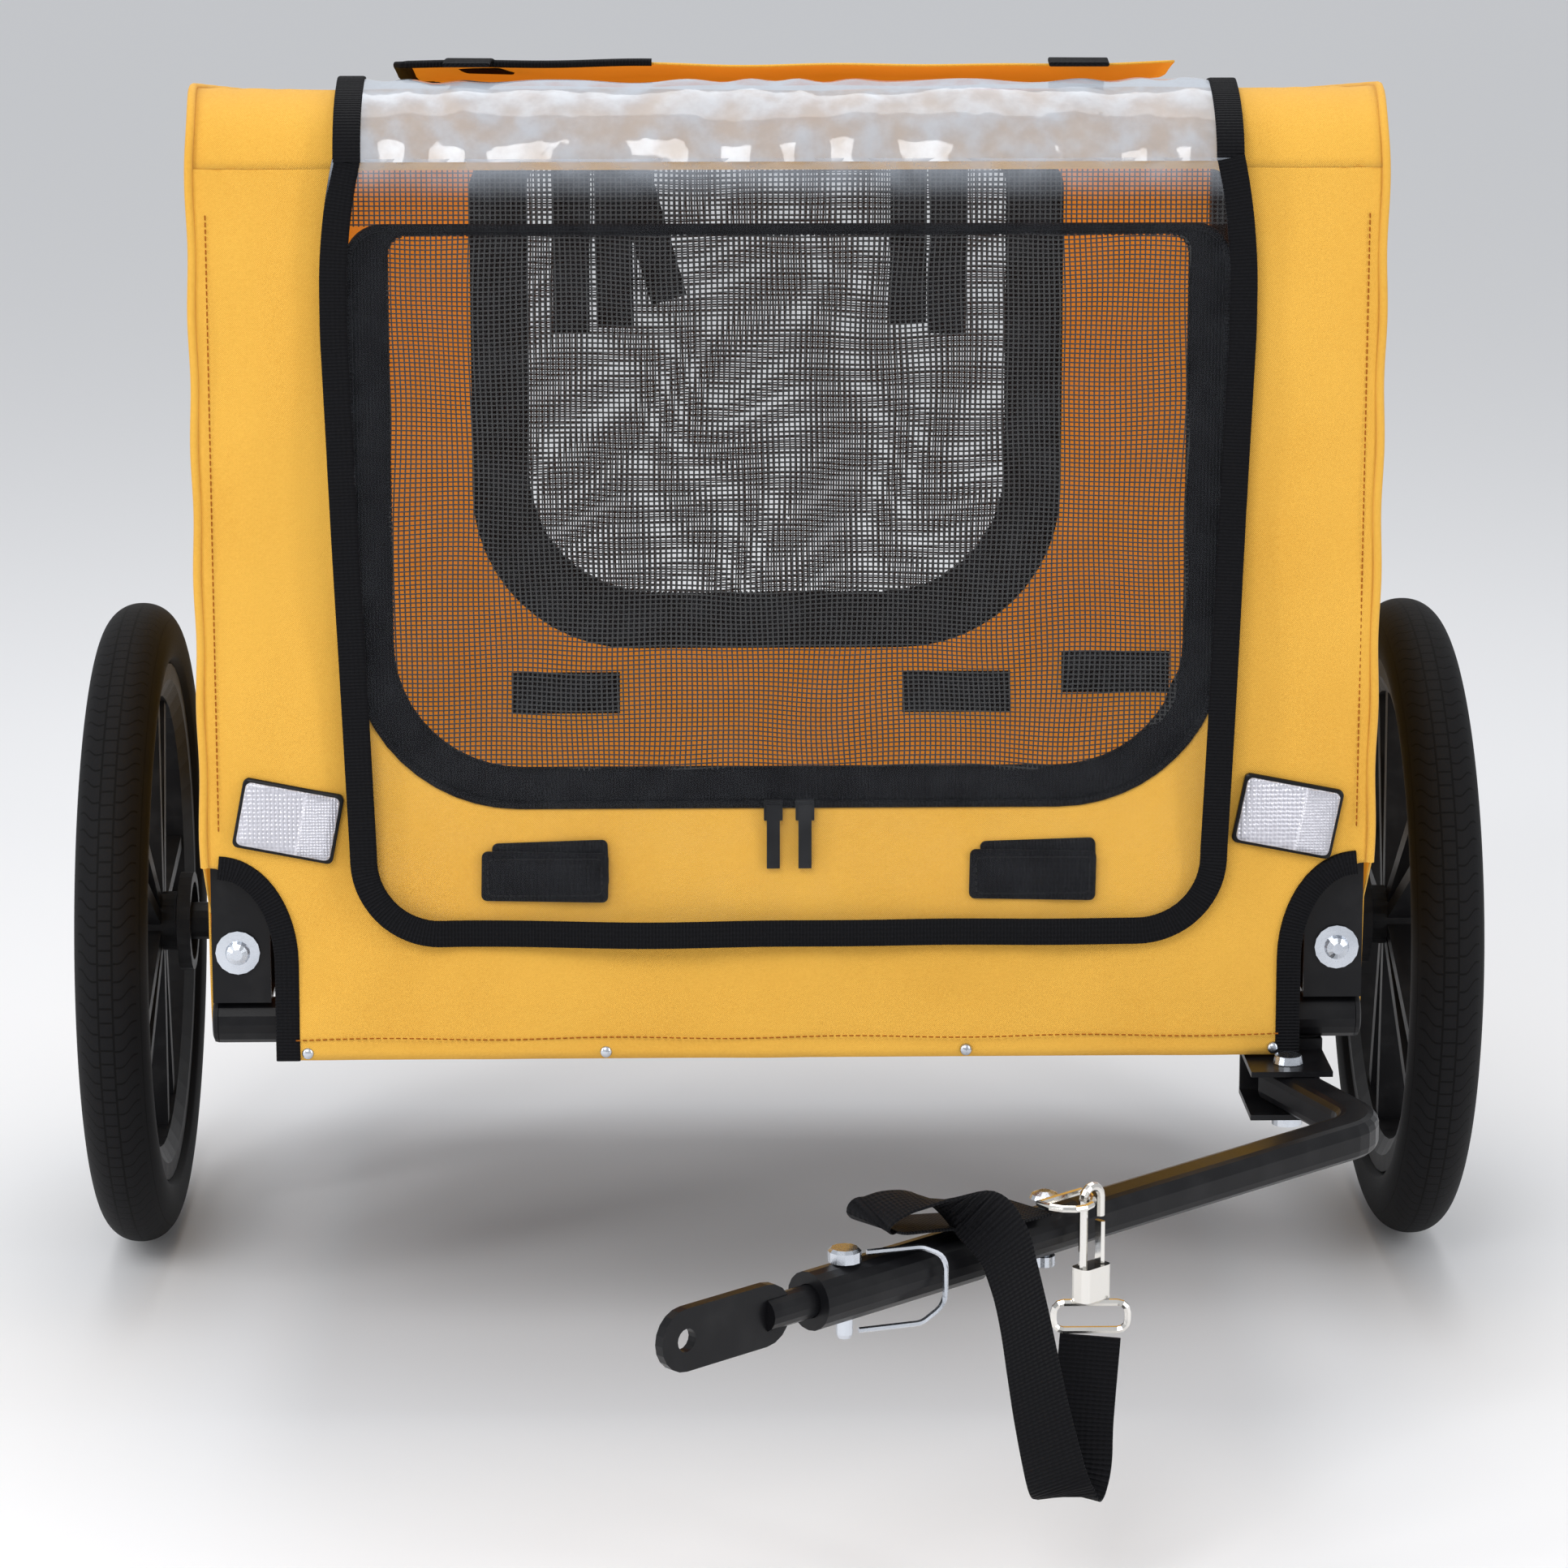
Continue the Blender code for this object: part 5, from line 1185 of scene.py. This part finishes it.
# --- Wheels -------------------------------------------------------------------------------------
@dataclass
class Tyre:
    """A tyre with a rounded crown and moulded tread."""

    side: Side
    radius: float = 0.195
    seat: float = 0.1525
    half: float = 0.021
    track: float = 0.387

    def build(self) -> None:
        """Half a superellipse from bead to bead, closed across the rim seat and turned round."""
        low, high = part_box(f"tyre_{self.side.word}")
        centre_y, centre_z = (low.y + high.y) / 2, (low.z + high.z) / 2
        angle = np.linspace(math.pi * 1.16, -math.pi * 0.16, 44)
        middle = self.seat + 0.020
        height = self.radius - middle
        x = self.half * np.sign(np.cos(angle)) * np.abs(np.cos(angle)) ** 0.92
        r = middle + height * np.sign(np.sin(angle)) * np.abs(np.sin(angle)) ** 0.95
        r = np.maximum(r, self.seat + 0.006)
        bead = np.array([(0.0122, self.seat + 0.006), (0.0122, self.seat), (-0.0122, self.seat),
                         (-0.0122, self.seat + 0.006)])
        profile = np.concatenate([np.stack([x, r], -1), bead])
        across = lengths_of(np.concatenate([profile, profile[:1]]))
        crown = int(np.argmax(profile[:, 1]))
        across = across - across[crown]
        turn = np.arange(240) * 2 * math.pi / 240
        points = np.stack([
            self.side.value * self.track + profile[None, :, 0] + 0 * turn[:, None],
            centre_y + profile[None, :, 1] * np.cos(turn)[:, None],
            centre_z + profile[None, :, 1] * np.sin(turn)[:, None],
        ], -1)
        around = np.linspace(0, 2 * math.pi * self.radius, 241)
        uv = np.stack(np.meshgrid(around, across, indexing="ij"), -1)
        name = f"tyre_{self.side.word}"
        tyre = grid_object(f"{name}_tread", points, uv, [Finish.TREAD], wrap_rows=True, wrap_cols=True)
        place_on(tyre, f"{self.side.word}_wheel", "tyre_rubber", name)


# --- Tow end ------------------------------------------------------------------------------------
def on_arm(distance: float, side: float = 0.0, z: float = ARM_Z) -> Array:
    """A place by the arm's straight run: how far from its corner, how far outwards, and how high."""
    point = ARM_CORNER + distance * ARM_FORWARD + side * ARM_OUTWARD
    return np.array([point[0], point[1], z])


@dataclass
class TowEnd:
    """The coupling's coil spring and the webbing safety strap with its sewn end."""

    spring_at: float = 0.2925
    spring_radius: float = 0.0085
    wire: float = 0.0013
    strap_width: float = 0.030
    strap_thickness: float = 0.0015

    def spring(self) -> None:
        """A helix about the arm: a point goes round it evenly as it goes along it evenly."""
        turn = np.linspace(0, 2 * math.pi * 2.6, 120)
        along = np.linspace(-0.0034, 0.0034, 120)
        spread = np.cos(turn)[:, None] * ARM_OUTWARD + np.sin(turn)[:, None] * UP
        coil_radius = self.spring_radius - self.wire
        path = on_arm(self.spring_at) + along[:, None] * ARM_FORWARD + coil_radius * spread
        coil = swept("coupling_coil", path, ring_section(self.wire, 8), ARM_FORWARD, Finish.ZINC)
        place_on(coil, "hitch_spring", "zinc", "coupling_spring")

    def strap(self) -> None:
        """The strap along its solid's route: over the arm, back over itself, down, and up again."""
        top = ARM_Z + 0.0125 + 0.0003 + self.strap_thickness / 2
        route = np.array([
            (0.2560, 0.000, 0.0000, 0), (0.2750, 0.000, 0.0004, 0), (0.2950, 0.000, 0.0022, 0),
            (0.3180, 0.000, 0.0060, 0), (0.3400, 0.000, 0.0095, 0), (0.3560, 0.000, 0.0120, 0),
            (0.3650, 0.001, 0.0165, 0), (0.3640, 0.003, 0.0215, 3), (0.3520, 0.007, 0.0250, 10),
            (0.3360, 0.014, 0.0240, 25), (0.3180, 0.023, 0.0160, 50), (0.3060, 0.029, 0.0010, 75),
            (0.2990, 0.031, -0.0180, 85), (0.2930, 0.032, -0.0400, 85), (0.2870, 0.032, -0.0640, 80),
            (0.2810, 0.032, -0.0880, 74), (0.2740, 0.032, -0.1120, 66), (0.2670, 0.031, -0.1300, 58),
            (0.2600, 0.029, -0.1375, 52), (0.2530, 0.027, -0.1400, 48), (0.2470, 0.025, -0.1360, 47),
            (0.2430, 0.024, -0.1260, 47), (0.2400, 0.022, -0.1060, 47),
        ])
        end = on_arm(0.2335, 0.020, 0.1369)
        places = ARM_CORNER + route[:, :1] * ARM_FORWARD + route[:, 1:2] * ARM_OUTWARD
        places[:, 2] = top + route[:, 2]
        points = np.concatenate([places, end[None]])
        turns = np.radians(np.concatenate([route[:, 3], [47]]))[:, None]
        widths = np.cos(turns) * ARM_OUTWARD - np.sin(turns) * ARM_FORWARD
        path = smooth_curve(points, 6)
        across = smooth_curve(widths, 6)
        section = rounded_section(self.strap_width, self.strap_thickness, 0.0006, 2)
        piece = swept("safety_strap_webbing", path, section, across, Finish.STRAP)
        place_on(piece, "tow_arm", "black_webbing", "safety_strap")

    def build(self) -> None:
        """Makes the spring and the strap."""
        self.spring()
        self.strap()


# --- What stays from the frame ------------------------------------------------------------------
def dress_frame() -> None:
    """Gives every node that stays its finish, by the start of its name."""
    chosen = {
        "axle_button": Finish.PLASTIC, "axle_socket": Finish.STEEL, "axle_": Finish.ZINC,
        "hub_bush": Finish.ZINC,
        "pivot_bolt": Finish.ZINC, "tow_pivot_bolt": Finish.ZINC, "hitch_pin": Finish.ZINC,
        "pin_clip": Finish.ZINC, "strap_screw": Finish.ZINC, "d_ring": Finish.NICKEL,
        "snap_hook": Finish.NICKEL, "hook_gate": Finish.NICKEL, "strap_ring": Finish.NICKEL,
        "wheel_": Finish.PLASTIC, "zip_slider": Finish.PLASTIC, "tube_cap": Finish.PLASTIC,
        "floor_board": Finish.BOARD,
    }
    for name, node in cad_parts.items():
        finish = next((f for start, f in chosen.items() if name.startswith(start)), Finish.STEEL)
        node.data.materials.clear()
        node.data.materials.append(finish.material())
        LOG.info("%s is finished in %s", name, finish.name.lower())


# --- Studio -------------------------------------------------------------------------------------
@dataclass
class Studio:
    """A pale floor, soft light from above and both sides, and the camera."""

    camera_place: tuple[float, float, float] = (-0.0587, -2.5841, 0.9017)
    yaw: float = 1.29
    pitch: float = 10.47
    lens: float = 109.1
    drop: float = -0.10

    def light(self, name: str, place: Array, target: Array, size: tuple[float, float], power: float) -> None:
        """One rectangular lamp aimed at a place."""
        lamp = bpy.data.lights.new(name, "AREA")
        lamp.shape = "RECTANGLE"
        lamp.size, lamp.size_y = size
        lamp.energy = power
        holder = bpy.data.objects.new(name, lamp)
        holder.location = place
        holder.rotation_euler = (Vector(target) - Vector(place)).to_track_quat("-Z", "Y").to_euler()
        bpy.context.scene.collection.objects.link(holder)

    def build(self) -> None:
        """Makes the floor, the lamps and the camera."""
        mesh = bpy.data.meshes.new("floor")
        corners = [(x * 60, y * 60, -0.001) for x, y in ((-1, -1), (1, -1), (1, 1), (-1, 1))]
        mesh.from_pydata(corners, [], [(0, 1, 2, 3)])
        floor = bpy.data.objects.new("floor", mesh)
        bpy.context.scene.collection.objects.link(floor)
        paint = Paint("pale_floor")
        paint.keep(Base_Color=(0.86, 0.86, 0.87, 1.0), Roughness=0.7)
        mesh.materials.append(paint.material)
        world = bpy.data.worlds.new("studio")
        world.use_nodes = True
        world.node_tree.nodes["Background"].inputs[0].default_value = (0.95, 0.97, 1.0, 1.0)
        world.node_tree.nodes["Background"].inputs[1].default_value = 0.66
        bpy.context.scene.world = world
        bpy.context.scene.view_settings.view_transform = "Standard"
        middle = np.array([0.0, 0.1, 0.35])
        self.light("key", np.array([-0.9, -2.6, 2.4]), middle, (1.6, 1.2), 44)
        self.light("fill", np.array([2.2, -1.6, 1.3]), middle, (0.5, 1.8), 18)
        self.light("edge", np.array([-2.3, -1.2, 1.2]), middle, (0.4, 1.8), 16)
        self.light("top", np.array([0.0, 0.6, 2.8]), middle, (2.0, 2.0), 30)
        camera = bpy.data.cameras.new("camera")
        camera.lens = self.lens
        camera.shift_y = self.drop
        holder = bpy.data.objects.new("camera", camera)
        yaw, pitch = math.radians(self.yaw), math.radians(self.pitch)
        aim = Vector((math.sin(yaw) * math.cos(pitch), math.cos(yaw) * math.cos(pitch), -math.sin(pitch)))
        holder.location = self.camera_place
        holder.rotation_euler = aim.to_track_quat("-Z", "Y").to_euler()
        bpy.context.scene.collection.objects.link(holder)
        bpy.context.scene.camera = holder


def main() -> None:
    """Builds the trailer's looks, sub-assembly by sub-assembly."""
    logging.basicConfig(level=logging.INFO, format="%(message)s")
    Studio().build()
    TowEnd().build()
    dress_frame()
    CabinCover().build()
    NetDoor(
        "mesh_door", "front_door", half=0.2315, bottom=0.345, top=0.655, corner=0.087, border=0.021,
        plane=FRONT_Y + 0.0005, way=-1, net=Finish.FRONT_NET, seed=21,
    ).build()
    NetDoor(
        "rear_door", "back_door", half=0.193, bottom=0.315, top=0.638, corner=0.104, border=0.036,
        plane=REAR_Y - 0.0005, way=1, net=Finish.REAR_NET, seed=25,
    ).build()
    RainFlap().build()
    FrontTrim().build()
    Interior().build()
    for side in Side:
        Tyre(side).build()


if __name__ == "__main__":
    main()
